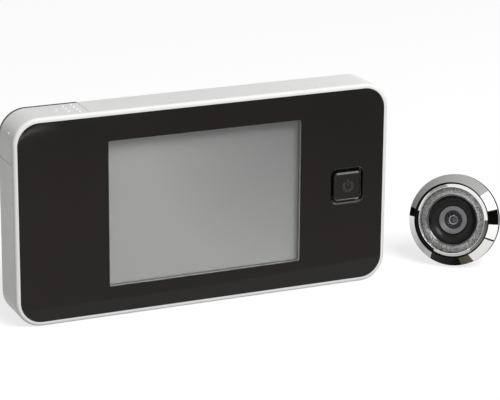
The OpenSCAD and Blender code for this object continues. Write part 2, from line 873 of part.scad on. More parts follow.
module camera_barrel() {
    floor_z = flange_z - head_floor_t;
    color("gainsboro") camera_place() difference() {
        union() {
            translate([0, 0, floor_z]) cylinder(r = groove_r - ring_gap, h = head_floor_t);
            translate([0, 0, tail_z + lead_l])
                cylinder(r = barrel_r, h = floor_z + head_floor_t / 2 - tail_z - lead_l);
            translate([0, 0, tail_z]) cylinder(r = lead_r, h = 2 * lead_l);
        }
        translate([0, 0, tail_z - over]) cylinder(r = barrel_in_r, h = 2 * over - tail_z);
    }
}

module door_gasket() {
    color("#303030") camera_place() translate([0, 0, -bezel_side - gasket_t]) difference() {
        cylinder(r = gasket_out_r, h = gasket_t);
        translate([0, 0, -over]) cylinder(r = barrel_r + run_gap, h = gasket_t + 2 * over);
    }
}

module clamp_washer() {
    color("#3c3c3c") camera_place() translate([0, 0, nut_z - nut_sleeve_l + washer_gap]) difference() {
        cylinder(r = washer_r, h = washer_t);
        translate([0, 0, -over]) cylinder(r = nut_sleeve_r + washer_gap, h = washer_t + 2 * over);
    }
}

module clamp_nut() {
    low = nut_z - nut_sleeve_l - nut_flange_t;
    color("silver") camera_place() difference() {
        union() {
            translate([0, 0, nut_z - nut_sleeve_l - nut_flange_t / 2])
                cylinder(r = nut_sleeve_r, h = nut_sleeve_l + nut_flange_t / 2);
            translate([0, 0, low]) cylinder(r = nut_flange_r, h = nut_flange_t);
        }
        translate([0, 0, low - over])
            cylinder(r = barrel_r + fit_gap, h = nut_sleeve_l + nut_flange_t + 2 * over);
        translate([-nut_flange_r - over, -coin_slot_w / 2, low - over])
            cube([2 * nut_flange_r + 2 * over, coin_slot_w, coin_slot_d + over]);
    }
}

module cable_grommet() {
    color("#222222") camera_place() translate([0, 0, tail_z]) difference() {
        cylinder(r = barrel_in_r - ring_gap, h = grommet_l);
        translate([0, 0, -over]) cylinder(r = grommet_hole_r, h = grommet_l + 2 * over);
    }
}

front_housing();
front_panel();
display_window();
display_gasket();
display_cell();
display_tray();
display_ribbon();
power_button();
switch_stem();
power_switch();
main_board();
board_chips();
board_coils();
camera_socket();
board_screws();
battery_bay();
battery_cell_left();
battery_cell_right();
contact_spring();
contact_leaf();
cover_contact();
battery_cover();
rear_cover();
case_screws();
door_bracket();
camera_bezel();
inner_ring();
grain_ring();
lens_hood();
lens_holder();
front_lens();
rear_lens();
aperture_ring();
image_sensor();
sensor_board();
camera_barrel();
door_gasket();
clamp_washer();
clamp_nut();
cable_grommet();
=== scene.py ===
# %% [markdown]
# # A peephole door camera
# The set is a slim door monitor and a separate viewer camera that lies beside it. The monitor is a
# white moulded shell with a gloss black front, a display and a power button, and its top left
# corner slides off to reach two cells. The camera is a chromed head on a threaded barrel.
# The lesson dresses an exact solid model: what already has the right shape gets a finish, and what
# is turned, coiled or repeated is made again here with rounder edges.

# %% The solid model is the frame
import math
import bpy
import bmesh
from mathutils import Matrix, Vector


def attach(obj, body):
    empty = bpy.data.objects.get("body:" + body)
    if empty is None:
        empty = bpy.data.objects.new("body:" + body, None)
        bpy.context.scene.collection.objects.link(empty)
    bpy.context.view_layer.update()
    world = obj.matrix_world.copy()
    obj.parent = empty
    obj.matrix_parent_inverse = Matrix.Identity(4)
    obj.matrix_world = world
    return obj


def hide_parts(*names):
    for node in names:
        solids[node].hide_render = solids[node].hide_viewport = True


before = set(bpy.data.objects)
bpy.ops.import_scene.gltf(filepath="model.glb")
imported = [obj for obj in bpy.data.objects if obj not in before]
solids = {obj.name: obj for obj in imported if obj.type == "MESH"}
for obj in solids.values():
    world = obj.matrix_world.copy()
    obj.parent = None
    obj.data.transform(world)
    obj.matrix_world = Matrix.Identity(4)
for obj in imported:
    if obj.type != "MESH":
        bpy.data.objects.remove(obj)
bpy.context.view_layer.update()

MM = 0.001
IN_MM = Matrix.Scale(MM, 4)

# %% [markdown]
# ## The camera
# A photograph from close by shows strong perspective, and one from further away hardly any. Here
# the edges of the monitor still draw together a little, so the camera stands about 0.7 m away with
# a long lens. Its place and angles come from fitting the monitor's corners.

# %% The camera at the photograph's place
VIEW_AT = Vector((-263.23, -637.91, 250.86)) * MM
VIEW_AZIMUTH, VIEW_ELEVATION, VIEW_ROLL = (math.radians(a) for a in (-23.777, 17.588, 0.456))
FOCAL_LENGTH, SENSOR_WIDTH = 166.157, 36
view_data = bpy.data.cameras.new("view")
view_data.sensor_width = SENSOR_WIDTH
view_data.lens = FOCAL_LENGTH
view_data.dof.use_dof = False
view_data.clip_start, view_data.clip_end = 0.01, 30
view = bpy.data.objects.new("view", view_data)
bpy.context.scene.collection.objects.link(view)
bpy.context.scene.camera = view
flat = math.cos(VIEW_ELEVATION)
backward = Vector((math.sin(VIEW_AZIMUTH) * flat, -math.cos(VIEW_AZIMUTH) * flat,
                   math.sin(VIEW_ELEVATION)))
level = (-backward).cross(Vector((0, 0, 1))).normalized()
upright = level.cross(-backward)
c, s = math.cos(VIEW_ROLL), math.sin(VIEW_ROLL)
turn = Matrix((c * level + s * upright, c * upright - s * level, backward)).transposed()
view.matrix_world = Matrix.Translation(VIEW_AT) @ turn.to_4x4()
print("camera", round(VIEW_AT.length, 3), "m from the origin")

# %% [markdown]
# ## Helpers for node trees
# A finish and a growing rule are both graphs of nodes. One small helper adds a node, sets its
# options and fills its inputs: a socket as a value is linked, and anything else is typed in. An
# input goes by its name, or by i and its number where two inputs share a name. The kind leaves out
# the prefix that a tree's own nodes share, ShaderNode or GeometryNode.

# %% Adding a node
PREFIX = {"SHADER": "ShaderNode", "GEOMETRY": "GeometryNode"}


def add(tree, kind, options=(), **inputs):
    node = tree.nodes.new(kind if "Node" in kind else PREFIX[tree.type] + kind)
    for key, value in dict(options).items():
        setattr(node, key, value)
    for key, value in inputs.items():
        label = key.replace("_", " ")
        if label[0] == "i" and label[1:].isdigit():
            socket = node.inputs[int(label[1:])]
        else:
            socket = next(i for i in node.inputs if i.name.lower() == label.lower() and i.enabled)
        if isinstance(value, bpy.types.NodeSocket):
            tree.links.new(value, socket)
        else:
            socket.default_value = value
    return node


def result(tree, kind, options=(), **inputs):
    """Adds a node and gives its first output."""
    return add(tree, kind, options, **inputs).outputs[0]


# %% Sums with nodes
def numbered(values):
    return {f"i{n}": value for n, value in enumerate(values)}


def sums(tree, operation, *values):
    """One math node; its values are numbers or sockets."""
    return result(tree, "ShaderNodeMath", {"operation": operation}, **numbered(values))


def vector_sums(tree, operation, *values):
    """One vector math node, which gives a number for a length, a distance or a dot product."""
    node = add(tree, "VectorMath", {"operation": operation}, **numbered(values))
    gives_number = operation in ("LENGTH", "DISTANCE", "DOT_PRODUCT")
    return node.outputs["Value" if gives_number else "Vector"]


def object_point(tree):
    return add(tree, "TexCoord").outputs["Object"]


def object_axes(tree):
    """The separate X, Y and Z of a point of the object, in metres."""
    return add(tree, "SeparateXYZ", Vector=object_point(tree)).outputs


# %% [markdown]
# ## Finishes
# Every finish starts from the same shader. Its base colour varies a little over the surface and its
# roughness a little more, because no moulded or turned surface is even. The patterns are read from
# Object coordinates, in metres, so a scale of 4000 has features of a quarter of a millimetre.

# %% A material, its shader and its relief
def new_material(name):
    material = bpy.data.materials.new(name)
    material.use_nodes = True
    return material, material.node_tree


def shader_of(material):
    return material.node_tree.nodes["Principled BSDF"]


def emboss(material, height, depth):
    """Gives a finish a relief that is so many millimetres deep."""
    tree = material.node_tree
    relief = result(tree, "Bump", Height=height, Distance=depth * MM, Strength=1.0)
    tree.links.new(relief, shader_of(material).inputs["Normal"])


# %% A finish with its own variation
def finish(name, color, roughness, metallic=0.0, vary=(0.04, 90), wear=(0.05, 160), bump=None,
           stretch=(1, 1, 1), **sockets):
    """Colour, roughness and relief each get an amount and a scale of noise."""
    material, tree = new_material(name)
    shader = shader_of(material)
    place = result(tree, "Mapping", Vector=object_point(tree), Scale=stretch)

    def noise(scale, detail):
        return result(tree, "TexNoise", Vector=place, Scale=scale, Detail=detail)

    def spread(pattern, low, high):
        return result(tree, "MapRange", Value=pattern, From_Min=0.3, From_Max=0.7, To_Min=low,
                      To_Max=high)

    (vary_by, vary_scale), (wear_by, wear_scale) = vary, wear
    tone = spread(noise(vary_scale, 3.0), 1 - vary_by, 1 + vary_by)
    tint = add(tree, "Mix", {"data_type": "RGBA", "blend_type": "MULTIPLY"}, i0=1.0, i6=(*color, 1),
               i7=tone)
    tree.links.new(tint.outputs[2], shader.inputs["Base Color"])
    worn = spread(noise(wear_scale, 5.0), max(roughness - wear_by, 0.01), roughness + wear_by)
    tree.links.new(worn, shader.inputs["Roughness"])
    shader.inputs["Metallic"].default_value = metallic
    if bump:
        depth, bump_scale = bump
        emboss(material, noise(bump_scale, 2.0), depth)
    for key, value in sockets.items():
        socket = shader.inputs[key.replace("_", " ").title().replace("Ior", "IOR")]
        socket.default_value = value
    return material


# %% A pattern of two colours
def paint(material, factor, first, second):
    """Puts a pattern of two colours in the place of a finish's plain colour."""
    tree = material.node_tree
    tint = next(n for n in tree.nodes if n.type == "MIX" and n.blend_type == "MULTIPLY")
    pattern = add(tree, "Mix", {"data_type": "RGBA"}, i0=factor, i6=(*first, 1), i7=(*second, 1))
    tree.links.new(pattern.outputs[2], tint.inputs[6])


# %% [markdown]
# ## Shading the solids
# An exact solid arrives as loose flat triangles. Welding joins them, and a small node group then
# shades smoothly across shallow edges and keeps the true edges sharp. Where a piece has crisp
# moulded edges, a bevel a tenth of a millimetre wide gives each edge its line of light.

# %% A geometry tree with named inputs
def geometry_tree(name, **sizes):
    """The tree, and the sockets that carry its geometry and its sizes."""
    tree = bpy.data.node_groups.new(name, "GeometryNodeTree")
    for label, kind in {"Geometry": "Geometry", **sizes}.items():
        tree.interface.new_socket(label.replace("_", " "), in_out="INPUT",
                                  socket_type="NodeSocket" + kind)
    tree.interface.new_socket("Geometry", in_out="OUTPUT", socket_type="NodeSocketGeometry")
    return tree, add(tree, "NodeGroupInput").outputs


def input_of(tree, label):
    """What a modifier calls this input."""
    return next(item.identifier for item in tree.interface.items_tree
                if item.in_out == "INPUT" and item.name == label)


# %% A node group that keeps true edges sharp
def edge_shading():
    tree, given = geometry_tree("edge shading", angle="Float")
    smooth = "SetShadeSmooth"
    faces = result(tree, smooth, {"domain": "FACE"}, i0=given[0], i2=True)
    angle = result(tree, "InputMeshEdgeAngle")
    shallow = result(tree, "FunctionNodeCompare", {"operation": "LESS_THAN"}, i0=angle, i1=given[1])
    edges = result(tree, smooth, {"domain": "EDGE"}, i0=faces, i2=shallow)
    add(tree, "NodeGroupOutput", i0=edges)
    return tree


EDGE_SHADING = edge_shading()
WELD_DISTANCE = 0.002
BEVEL_ABOVE = 35


# %% A solid gets its finish
def dress(node, material, bevel=0.0, angle=28):
    """The bevel is in millimetres; edges above the angle, in degrees, stay sharp."""
    piece = solids[node]
    piece.data.materials.clear()
    piece.data.materials.append(material)
    weld = piece.modifiers.new("weld", "WELD")
    weld.merge_threshold = WELD_DISTANCE * MM
    if bevel:
        edge = piece.modifiers.new("bevel", "BEVEL")
        edge.width = bevel * MM
        edge.segments = 2
        edge.limit_method = "ANGLE"
        edge.angle_limit = math.radians(BEVEL_ABOVE)
    smooth = piece.modifiers.new("edge shading", "NODES")
    smooth.node_group = EDGE_SHADING
    smooth[input_of(EDGE_SHADING, "angle")] = math.radians(angle)
    weighted = piece.modifiers.new("weighted normals", "WEIGHTED_NORMAL")
    weighted.keep_sharp = True


# %% [markdown]
# ## The white shell
# The shell and its corner cover are injection moulded in a glossy white plastic. A trace of mould
# texture and a slow change of roughness keep the highlight on the rim from looking drawn.

# %% White moulded plastic
white_plastic = finish("white moulded plastic", (0.87, 0.868, 0.85), 0.3, vary=(0.012, 40),
                       bump=(0.002, 2600), Specular_Ior_Level=0.45)
for part in ("front_housing", "battery_cover"):
    dress(part, white_plastic, angle=32)
print("white shell dressed")

# %% [markdown]
# ## The gloss black front and the dark pieces of the monitor
# The panel is polished black with a warm tinge. Its specular level is set low, as a thin hard coat
# over printed black shows only a weak mirror image of the table in front of it.

# %% Black panel, button, rear cover
panel_black = finish("polished black panel", (0.0125, 0.0103, 0.0094), 0.07, vary=(0.08, 30),
                     wear=(0.03, 45), Specular_Ior_Level=0.22)
button_black = finish("satin black button", (0.011, 0.0095, 0.0087), 0.17, vary=(0.06, 90),
                      bump=(0.001, 5200), Specular_Ior_Level=0.3)
rear_black = finish("spark textured black", (0.022, 0.022, 0.0225), 0.5, vary=(0.1, 700),
                    bump=(0.02, 2400), Specular_Ior_Level=0.4)
dress("front_panel", panel_black, bevel=0.08)
dress("power_button", button_black, bevel=0.06)
dress("rear_cover", rear_black, angle=32)
print("black pieces dressed")

# %% [markdown]
# ## The display
# The display is switched off and reads as an even grey, into which painted shade is mixed: it
# grows darker towards its top right corner, where it would mirror less of the table. The clear
# insert
# in front of it lets the lamps through: a shadow ray sees plain transparency, and every other ray
# sees glass.

# %% Display cell and its foam frame
PAINTED_SHADE_CORNER, PAINTED_SHADE_LENGTH = (0.034, -0.004, 0.06), 0.055
screen_grey_and_painted_shade = finish("switched off display with painted shade", (0.2, 0.2, 0.198), 0.38, vary=(0.015, 20),
                     Specular_Ior_Level=0.3)
tree = screen_grey_and_painted_shade.node_tree
# Painted shade: the grey darkens towards the display's top right corner.
corner = vector_sums(tree, "DISTANCE", PAINTED_SHADE_CORNER, object_point(tree))
painted_shade = result(tree, "MapRange", Value=corner, From_Min=0.0, From_Max=PAINTED_SHADE_LENGTH)
paint(screen_grey_and_painted_shade, painted_shade, (0.075, 0.075, 0.073), (0.172, 0.171, 0.167))
foam_dark = finish("dark foam", (0.03, 0.028, 0.025), 0.85, vary=(0.2, 1800), bump=(0.05, 5000))
dress("display_cell", screen_grey_and_painted_shade)
dress("display_gasket", foam_dark)


# %% The clear insert
def clear(name, color, ior=1.49, through=1.0):
    material, tree = new_material(name)
    glass = shader_of(material)
    for label, value in (("Base Color", (*color, 1)), ("Roughness", 0.0), ("IOR", ior),
                         ("Transmission Weight", through)):
        glass.inputs[label].default_value = value
    passing = result(tree, "BsdfTransparent", Color=(*color, 1))
    ray = add(tree, "LightPath").outputs["Is Shadow Ray"]
    mixed = result(tree, "MixShader", i0=ray, i1=glass.outputs[0], i2=passing)
    tree.links.new(mixed, tree.nodes["Material Output"].inputs["Surface"])
    return material


dress("display_window", clear("clear insert", (0.97, 0.98, 0.98)))
print("display dressed")

# %% [markdown]
# ## The set's turned pieces
# Everything in the camera's head is turned about one axis, so a lathe is the natural tool. A
# profile lists radius, height and the size of the fillet at each corner, in millimetres along the
# camera's own axis, with zero at the bezel's rim. The profile is carried round the axis, and the
# finished mesh is then laid down tilted, as the camera rests on its bezel and its tail.

# %% Where the camera lies
LENS_TILT = math.atan(9.5 / 37)
CAMERA_TURN = math.radians(-42.7)
CAMERA_AT = Vector((90.1, -2.65, 15.12298)) * MM
CAMERA_PLACE = Matrix.Translation(CAMERA_AT) @ Matrix.Rotation(CAMERA_TURN, 4, "Z") \
    @ Matrix.Rotation(math.pi / 2 - LENS_TILT, 4, "X") @ IN_MM
LENS_AXIS = (CAMERA_PLACE.to_3x3() @ Vector((0, 0, 1))).normalized()
print("lens axis", [round(v, 4) for v in LENS_AXIS])


# %% Fillets at the corners of a profile
def filleted(points, steps=5):
    outline = []
    for n, (r, z, fillet) in enumerate(points):
        here = Vector((r, z))
        if fillet <= 0:
            outline.append(here)
            continue
        before = (Vector(points[n - 1][:2]) - here).normalized()
        after = (Vector(points[(n + 1) % len(points)][:2]) - here).normalized()
        half = before.angle(after) / 2
        centre = here + (before + after).normalized() * fillet / math.sin(half)
        start = here + before * fillet / math.tan(half) - centre
        end = here + after * fillet / math.tan(half) - centre
        first = math.atan2(start.y, start.x)
        sweep = (math.atan2(end.y, end.x) - first + math.pi) % (2 * math.pi) - math.pi
        for k in range(steps + 1):
            a = first + sweep * k / steps
            outline.append(centre + fillet * Vector((math.cos(a), math.sin(a))))
    return outline


# %% A lathe
TINY = 1e-6


def revolved(shape, outline, segments, slot_of=None, closed=True):
    """Adds the outline, carried round Z, to a bmesh."""
    rings = []
    for k in range(segments):
        a = 2 * math.pi * k / segments
        c, s = math.cos(a), math.sin(a)
        rings.append([shape.verts.new((p.x * c, p.x * s, p.y)) for p in outline])
    for k in range(segments):
        here, there = rings[k], rings[(k + 1) % segments]
        for n in range(len(outline) if closed else len(outline) - 1):
            m = (n + 1) % len(outline)
            if outline[n].x < TINY and outline[m].x < TINY:
                continue
            face = shape.faces.new((here[n], here[m], there[m], there[n]))
            if slot_of:
                face.material_index = slot_of((outline[n] + outline[m]) / 2)


def mesh_from(shape, name):
    """A bmesh's mesh, closed and with its faces outwards."""
    bmesh.ops.remove_doubles(shape, verts=shape.verts, dist=10 * TINY)
    bmesh.ops.dissolve_degenerate(shape, edges=shape.edges, dist=TINY)
    bmesh.ops.recalc_face_normals(shape, faces=shape.faces)
    mesh = bpy.data.meshes.new(name)
    shape.to_mesh(mesh)
    shape.free()
    return mesh


def turned_mesh(name, points, segments=96, steps=5, slot_of=None):
    shape = bmesh.new()
    revolved(shape, filleted(points, steps), segments, slot_of)
    return mesh_from(shape, name)


# %% A finished mesh takes its solid's place
SHARP_ABOVE = 30


def finished_object(name, mesh, materials=()):
    for material in materials:
        mesh.materials.append(material)
    piece = bpy.data.objects.new(name, mesh)
    bpy.context.scene.collection.objects.link(piece)
    return piece


def keep(name, mesh, node, *materials, body="root", place=None, replace=True):
    if place:
        mesh.transform(place)
    mesh.shade_smooth()
    mesh.set_sharp_from_angle(angle=math.radians(SHARP_ABOVE))
    piece = finished_object(name, mesh, materials)
    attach(piece, body)
    if replace:
        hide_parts(node)
    print(name, len(mesh.polygons), "faces")


def turned(name, node, points, *materials, segments=192, steps=5, slot_of=None, replace=True):
    keep(name, turned_mesh(name, points, segments, steps, slot_of), node, *materials,
         place=CAMERA_PLACE, replace=replace)


# %% [markdown]
# ## The rim's corner
# At the top left corner the opening for the cells touches the white rim and leaves a notch of a
# millimetre. A short piece of the rim, with the same rounded section, is carried round the corner's
# centre to fill it. It lies a hundredth of a millimetre inside the shell's surface.

# %% A mesh through rows of points
def lofted(name, rows):
    """Closed round each row, with a face at the first row and at the last."""
    shape = bmesh.new()
    rows = [[shape.verts.new(point) for point in row] for row in rows]
    for low, high in zip(rows, rows[1:]):
        for n in range(len(low)):
            shape.faces.new((low[n - 1], low[n], high[n], high[n - 1]))
    shape.faces.new(rows[0])
    shape.faces.new(rows[-1])
    return mesh_from(shape, name)


# %% A short piece of the rim
def rim_piece(corner, outer, wall, rounding, front, back, middle, sweep, steps=24):
    """The section is a wall whose outer front edge is rounded; angles are in degrees."""
    section = filleted([(outer - wall, back, 0), (outer - wall, front, 0),
                        (outer, front, rounding), (outer, back, 0)], steps=9)
    turns = [math.radians(middle + sweep * (k / steps - 0.5)) for k in range(steps + 1)]
    return lofted("rim piece", [[(corner[0] + r * math.cos(a), y, corner[1] + r * math.sin(a))
                                 for r, y in section] for a in turns])


keep("rim_corner", rim_piece(corner=(-54.1, 57.6), outer=8.39, wall=1.37, rounding=0.99,
                             front=-6.99, back=-5.36, middle=135, sweep=44),
     "front_housing", white_plastic, place=IN_MM, replace=False)

# %% [markdown]
# ## The camera's head
# From the rim inwards: a chromed bezel whose cone has a slight bulge, a black groove, a second
# bright ring that slopes outwards, a grained satin ring that rises inwards, a gloss black dish, and
# the grey holder round the lens. The bezel's bow is an arc through its rim and its crown. Its
# upright side carries painted shade, a darker satin copy of the chrome, so that a thin dark line
# sets the head off from a pale room. The grained ring's crest carries painted shade in the same
# way.

# %% Chrome and other metals
chrome = finish("polished chrome", (0.92, 0.915, 0.905), 0.03, 1.0, vary=(0.01, 90),
                wear=(0.012, 400))
ring_chrome = finish("warm chrome", (0.86, 0.85, 0.82), 0.05, 1.0, vary=(0.01, 90),
                     wear=(0.015, 400))
# The bezel's upright side: painted shade, a dark copy of the chrome.
side_painted_shade = finish("bezel side with painted shade", (0.14, 0.14, 0.14), 0.28, 1.0, vary=(0.1, 900),
                    Specular_Tint=(0.1, 0.1, 0.1, 1))
grained = finish("grained satin metal", (0.48, 0.48, 0.49), 0.4, 0.85, vary=(0.8, 2400),
                 wear=(0.14, 2600), bump=(0.06, 2600))
# The grained ring's crest: painted shade, a dark copy of its metal.
crest_painted_shade = finish("cone crest with painted shade", (0.09, 0.09, 0.09), 0.16, 1.0, vary=(0.15, 1500))

# %% Gloss black and the holder's grey
hood_black = finish("gloss black dish", (0.008, 0.0075, 0.007), 0.21, vary=(0.05, 90),
                    wear=(0.03, 160), Specular_Ior_Level=0.2)
pupil_dark = finish("black anodised ring", (0.009, 0.008, 0.011), 0.5, vary=(0.05, 90),
                    Specular_Ior_Level=0.12)
holder_grey = finish("satin grey holder", (0.17, 0.17, 0.172), 0.42, vary=(0.05, 900),
                     bump=(0.003, 4200))


# %% A bow between two points of a profile
def arc(start, end, radius, steps):
    """Points of a bow that bulges outwards from the axis between two profile points."""
    start, end = Vector(start), Vector(end)
    chord = end - start
    inward = Vector((-chord.y, chord.x)).normalized()
    centre = (start + end) / 2 + inward * math.sqrt(radius ** 2 - chord.length_squared / 4)
    first = math.atan2(start.y - centre.y, start.x - centre.x)
    sweep = math.atan2(end.y - centre.y, end.x - centre.x) - first
    angles = [first + sweep * k / steps for k in range(steps + 1)]
    return [(centre.x + radius * math.cos(a), centre.y + radius * math.sin(a), 0) for a in angles]


# %% The bezel: black in the groove, painted shade in dark satin on its upright side, chrome between
GROOVE_WALL, UPRIGHT_SIDE = 12.53, 15.08
bow = arc((15.06, 0.08), (12.54, 3.27), radius=9, steps=14)
turned("chrome_bezel", "camera_bezel",
       [(12.5, -2, 0), (14.98, -2, 0.1), (15.1, -1.9, 0.05), (15.1, -0.05, 0.05), *bow,
        (12.5, 3.22, 0)], chrome, pupil_dark, side_painted_shade,
       slot_of=lambda p: 1 if p.x < GROOVE_WALL else 2 if p.x > UPRIGHT_SIDE else 0)

# %% The rings inside it
RING_WALL = 12.04
turned("bright_ring", "inner_ring",
       [(10.9, -0.9, 0), (12.05, -0.9, 0), (12.05, 2.7, 0.06), (11.03, 3.14, 0.1),
        (10.9, 3.08, 0.03)], ring_chrome, pupil_dark, steps=8,
       slot_of=lambda p: int(p.x > RING_WALL))
turned("black_groove", "door_gasket",
       [(12.07, -0.9, 0), (12.48, -0.9, 0), (12.48, 2.1, 0), (12.07, 2.1, 0)], pupil_dark,
       segments=128, replace=False)
CREST_RADIUS, CREST_HEIGHT = 8.53, 1.6
turned("grained_cone", "grain_ring",
       [(8.02, -0.9, 0), (10.85, -0.9, 0), (10.85, 0.2, 0.05), (8.5, 2.18, 0.12),
        (8.02, 1.87, 0.03)], grained, crest_painted_shade,
       slot_of=lambda p: int(p.x < CREST_RADIUS and p.y > CREST_HEIGHT))

# %% The dish is an arc that is lowest near the lens
BOWL_RADIUS, BOWL_CENTRE, BOWL_FLOOR = 3.056, 5.4, 0.3
BOWL_FROM, BOWL_SWEEP, BOWL_STEPS = 58, 67, 30
angles = [math.radians(BOWL_FROM - BOWL_SWEEP * k / BOWL_STEPS) for k in range(BOWL_STEPS + 1)]
bowl = [(BOWL_CENTRE + BOWL_RADIUS * math.sin(a), BOWL_FLOOR + BOWL_RADIUS * (1 - math.cos(a)), 0)
        for a in angles]
turned("gloss_dish", "lens_hood", [(4.92, -0.9, 0), (8.0, -0.9, 0), *bowl], hood_black,
       segments=160)
turned("grey_holder", "lens_holder",
       [(3.0, -5.9, 0), (4.58, -5.9, 0), (4.58, 1.4, 0.12), (3.3, 1.4, 0.08), (3.04, 1.15, 0.04),
        (3.0, 1.0, 0)], holder_grey, segments=128)

# %% [markdown]
# ## The lens
# The front glass has a purple coating and bulges a little. Behind it a black ring leaves a small
# pupil, and a second glass sits deeper in the holder, in front of the image sensor.

# %% Lenses, pupil and sensor
coated_glass = clear("purple coated glass", (0.93, 0.91, 0.96), ior=1.22)
pupil_light = finish("pale lens seat", (0.13, 0.125, 0.13), 0.3, vary=(0.05, 90))
dome = arc((2.98, 0.63), (0.0, 1.2), radius=8, steps=12)
turned("front_glass", "front_lens", [(0, 0.3, 0), (2.98, 0.3, 0.05), *dome], coated_glass,
       segments=96)
STEP_FROM, STEP_TO = 1.05, 1.52
turned("lens_seat", "aperture_ring",
       [(0.8, -0.8, 0), (2.98, -0.8, 0), (2.98, 0.2, 0), (1.55, 0.2, 0.03), (1.5, 0.12, 0.02),
        (1.1, 0.1, 0.03), (0.8, -0.4, 0.05)], pupil_dark, pupil_light, segments=96,
       slot_of=lambda p: int(STEP_FROM < p.x < STEP_TO and p.y > 0))
green_glass = clear("green coated glass", (0.33, 0.33, 0.22), ior=1.4, through=0.7)
turned("rear_glass", "rear_lens",
       [(0, -2.4, 0), (2.98, -2.4, 0.05), (2.98, -0.85, 0.05), (0, -0.8, 0)], green_glass,
       segments=64)
dress("image_sensor", finish("image sensor", (0.3, 0.29, 0.15), 0.2, vary=(0.25, 2400)))

# %% [markdown]
# ## Growing pieces by rule
# A thread, a coil, a row of pins and a set of equal screws all repeat something. Geometry Nodes can
# grow each of them from a few named sizes. The function grow runs such a tree once and keeps the
# result as a plain mesh, so nothing live is left behind.

# %% The ends that all growing trees share
def end_tree(tree, geometry, given):
    plain = result(tree, "RealizeInstances", Geometry=geometry)
    dressed = result(tree, "SetMaterial", Geometry=plain, Material=given["finish"])
    add(tree, "NodeGroupOutput", i0=dressed)
    return tree


def join(tree, grown, given):
    """What has grown, together with the mesh that the tree started from."""
    joined = add(tree, "JoinGeometry", Geometry=grown)
    tree.links.new(given["Geometry"], joined.inputs[0])
    return joined.outputs[0]


# %% The tree's one run
def grow(name, tree, start, material, **sizes):
    """Runs the tree on a start mesh with these sizes, and gives the plain mesh."""
    piece = finished_object(name, start)
    modifier = piece.modifiers.new("grow", "NODES")
    modifier.node_group = tree
    for label, value in {**sizes, "finish": material}.items():
        modifier[input_of(tree, label.replace("_", " "))] = value
    grown = piece.evaluated_get(bpy.context.evaluated_depsgraph_get())
    mesh = bpy.data.meshes.new_from_object(grown)
    bpy.data.objects.remove(piece)
    return mesh


# %% [markdown]
# ## The threaded barrel
# The barrel behind the head is a turned tube with a coarse thread and a plain lead-in at its end.
# A spiral curve carries a flat-topped ridge along the tube. At both ends the ridge shrinks into the
# tube, as a cut thread runs out. The same tree later threads the screws.

# %% A swept spiral, for threads and for coils
def swept_spiral(tree, given, turns, first, last, height, profile, **options):
    spiral = result(tree, "CurveSpiral", Resolution=given["steps"], Rotations=turns,
                    Start_Radius=given[first], End_Radius=given[last], Height=given[height])
    upright = result(tree, "SetCurveNormal", {"mode": "Z_UP"}, Curve=spiral)
    return result(tree, "CurveToMesh", Curve=upright, Profile_Curve=profile, Fill_Caps=True,
                  **options)


# %% A tree that adds a thread to a turned core
RIDGE_FOOT, RIDGE_CREST = 0.88, 0.12
RIDGE_AT_ENDS = 0.2


def thread_tree():
    tree, given = geometry_tree("thread", core_radius="Float", depth="Float", pitch="Float",
                                first="Float", length="Float", steps="Int", finish="Material")
    turns = sums(tree, "DIVIDE", given["length"], given["pitch"])
    along = add(tree, "SplineParameter").outputs["Factor"]
    from_end = sums(tree, "MINIMUM", along, sums(tree, "SUBTRACT", 1.0, along))
    grown_by = sums(tree, "MULTIPLY", from_end, turns)
    run_out = sums(tree, "MINIMUM", sums(tree, "ADD", RIDGE_AT_ENDS, grown_by), 1.0)
    ridge = result(tree, "CurvePrimitiveQuadrilateral", {"mode": "TRAPEZOID"},
                   Bottom_Width=sums(tree, "MULTIPLY", given["pitch"], RIDGE_FOOT),
                   Top_Width=sums(tree, "MULTIPLY", given["pitch"], RIDGE_CREST), Offset=0.0,
                   Height=sums(tree, "MULTIPLY", given["depth"], 2.0))
    outward = result(tree, "Transform", Geometry=ridge, Rotation=(0, 0, math.pi / 2))
    swept = swept_spiral(tree, given, turns, "core radius", "core radius", "length", outward,
                         Scale=run_out)
    lift = result(tree, "ShaderNodeCombineXYZ", Z=given["first"])
    placed = result(tree, "Transform", Geometry=swept, Translation=lift)
    return end_tree(tree, join(tree, placed, given), given)


THREAD = thread_tree()

# %% The barrel
barrel_nickel = finish("dull nickel barrel", (0.52, 0.51, 0.49), 0.3, 1.0, vary=(0.06, 260),
                       wear=(0.08, 700))
core = turned_mesh("barrel core", [(5.2, -39, 0.1), (5.6, -39, 0.2), (5.6, -33.1, 0),
                                   (5.64, -33, 0), (5.64, -3.2, 0), (6.0, -3.1, 0), (6.0, -2, 0),
                                   (12.4, -2, 0.1), (12.4, -0.9, 0.1), (5.2, -0.9, 0)], 128)
barrel = grow("barrel", THREAD, core, barrel_nickel, core_radius=5.6, depth=0.38, pitch=1.0,
              first=-32.6, length=29.0, steps=72)
FLANGE_FROM = -3.5
reach = max(v.co.xy.length for v in barrel.vertices if v.co.z < FLANGE_FROM)
print("the thread reaches a radius of", round(reach, 3), "mm")
keep("threaded_barrel", barrel, "camera_barrel", place=CAMERA_PLACE)

# %% [markdown]
# ## What clamps the camera in a door
# A foam ring, a plastic washer and a flanged nut with a coin slot sit on the barrel, and a rubber
# gland closes its end. Turned metal shows fine rings round its axis, so the nut's relief is read
# from the place along the lens axis and the distance to it, which a few vector nodes give.

# %% A relief of fine rings round the lens axis
def turning_marks(material, depth, scale):
    tree = material.node_tree
    offset = vector_sums(tree, "SUBTRACT", object_point(tree), CAMERA_AT)
    along = vector_sums(tree, "DOT_PRODUCT", offset, LENS_AXIS)
    whole_squared = sums(tree, "POWER", vector_sums(tree, "LENGTH", offset), 2.0)
    square = sums(tree, "SUBTRACT", whole_squared, sums(tree, "MULTIPLY", along, along))
    away = sums(tree, "SQRT", sums(tree, "MAXIMUM", square, 0.0))
    rings = result(tree, "TexNoise", {"noise_dimensions": "1D"}, W=sums(tree, "ADD", along, away),
                   Scale=scale, Detail=2.0)
    emboss(material, rings, depth)


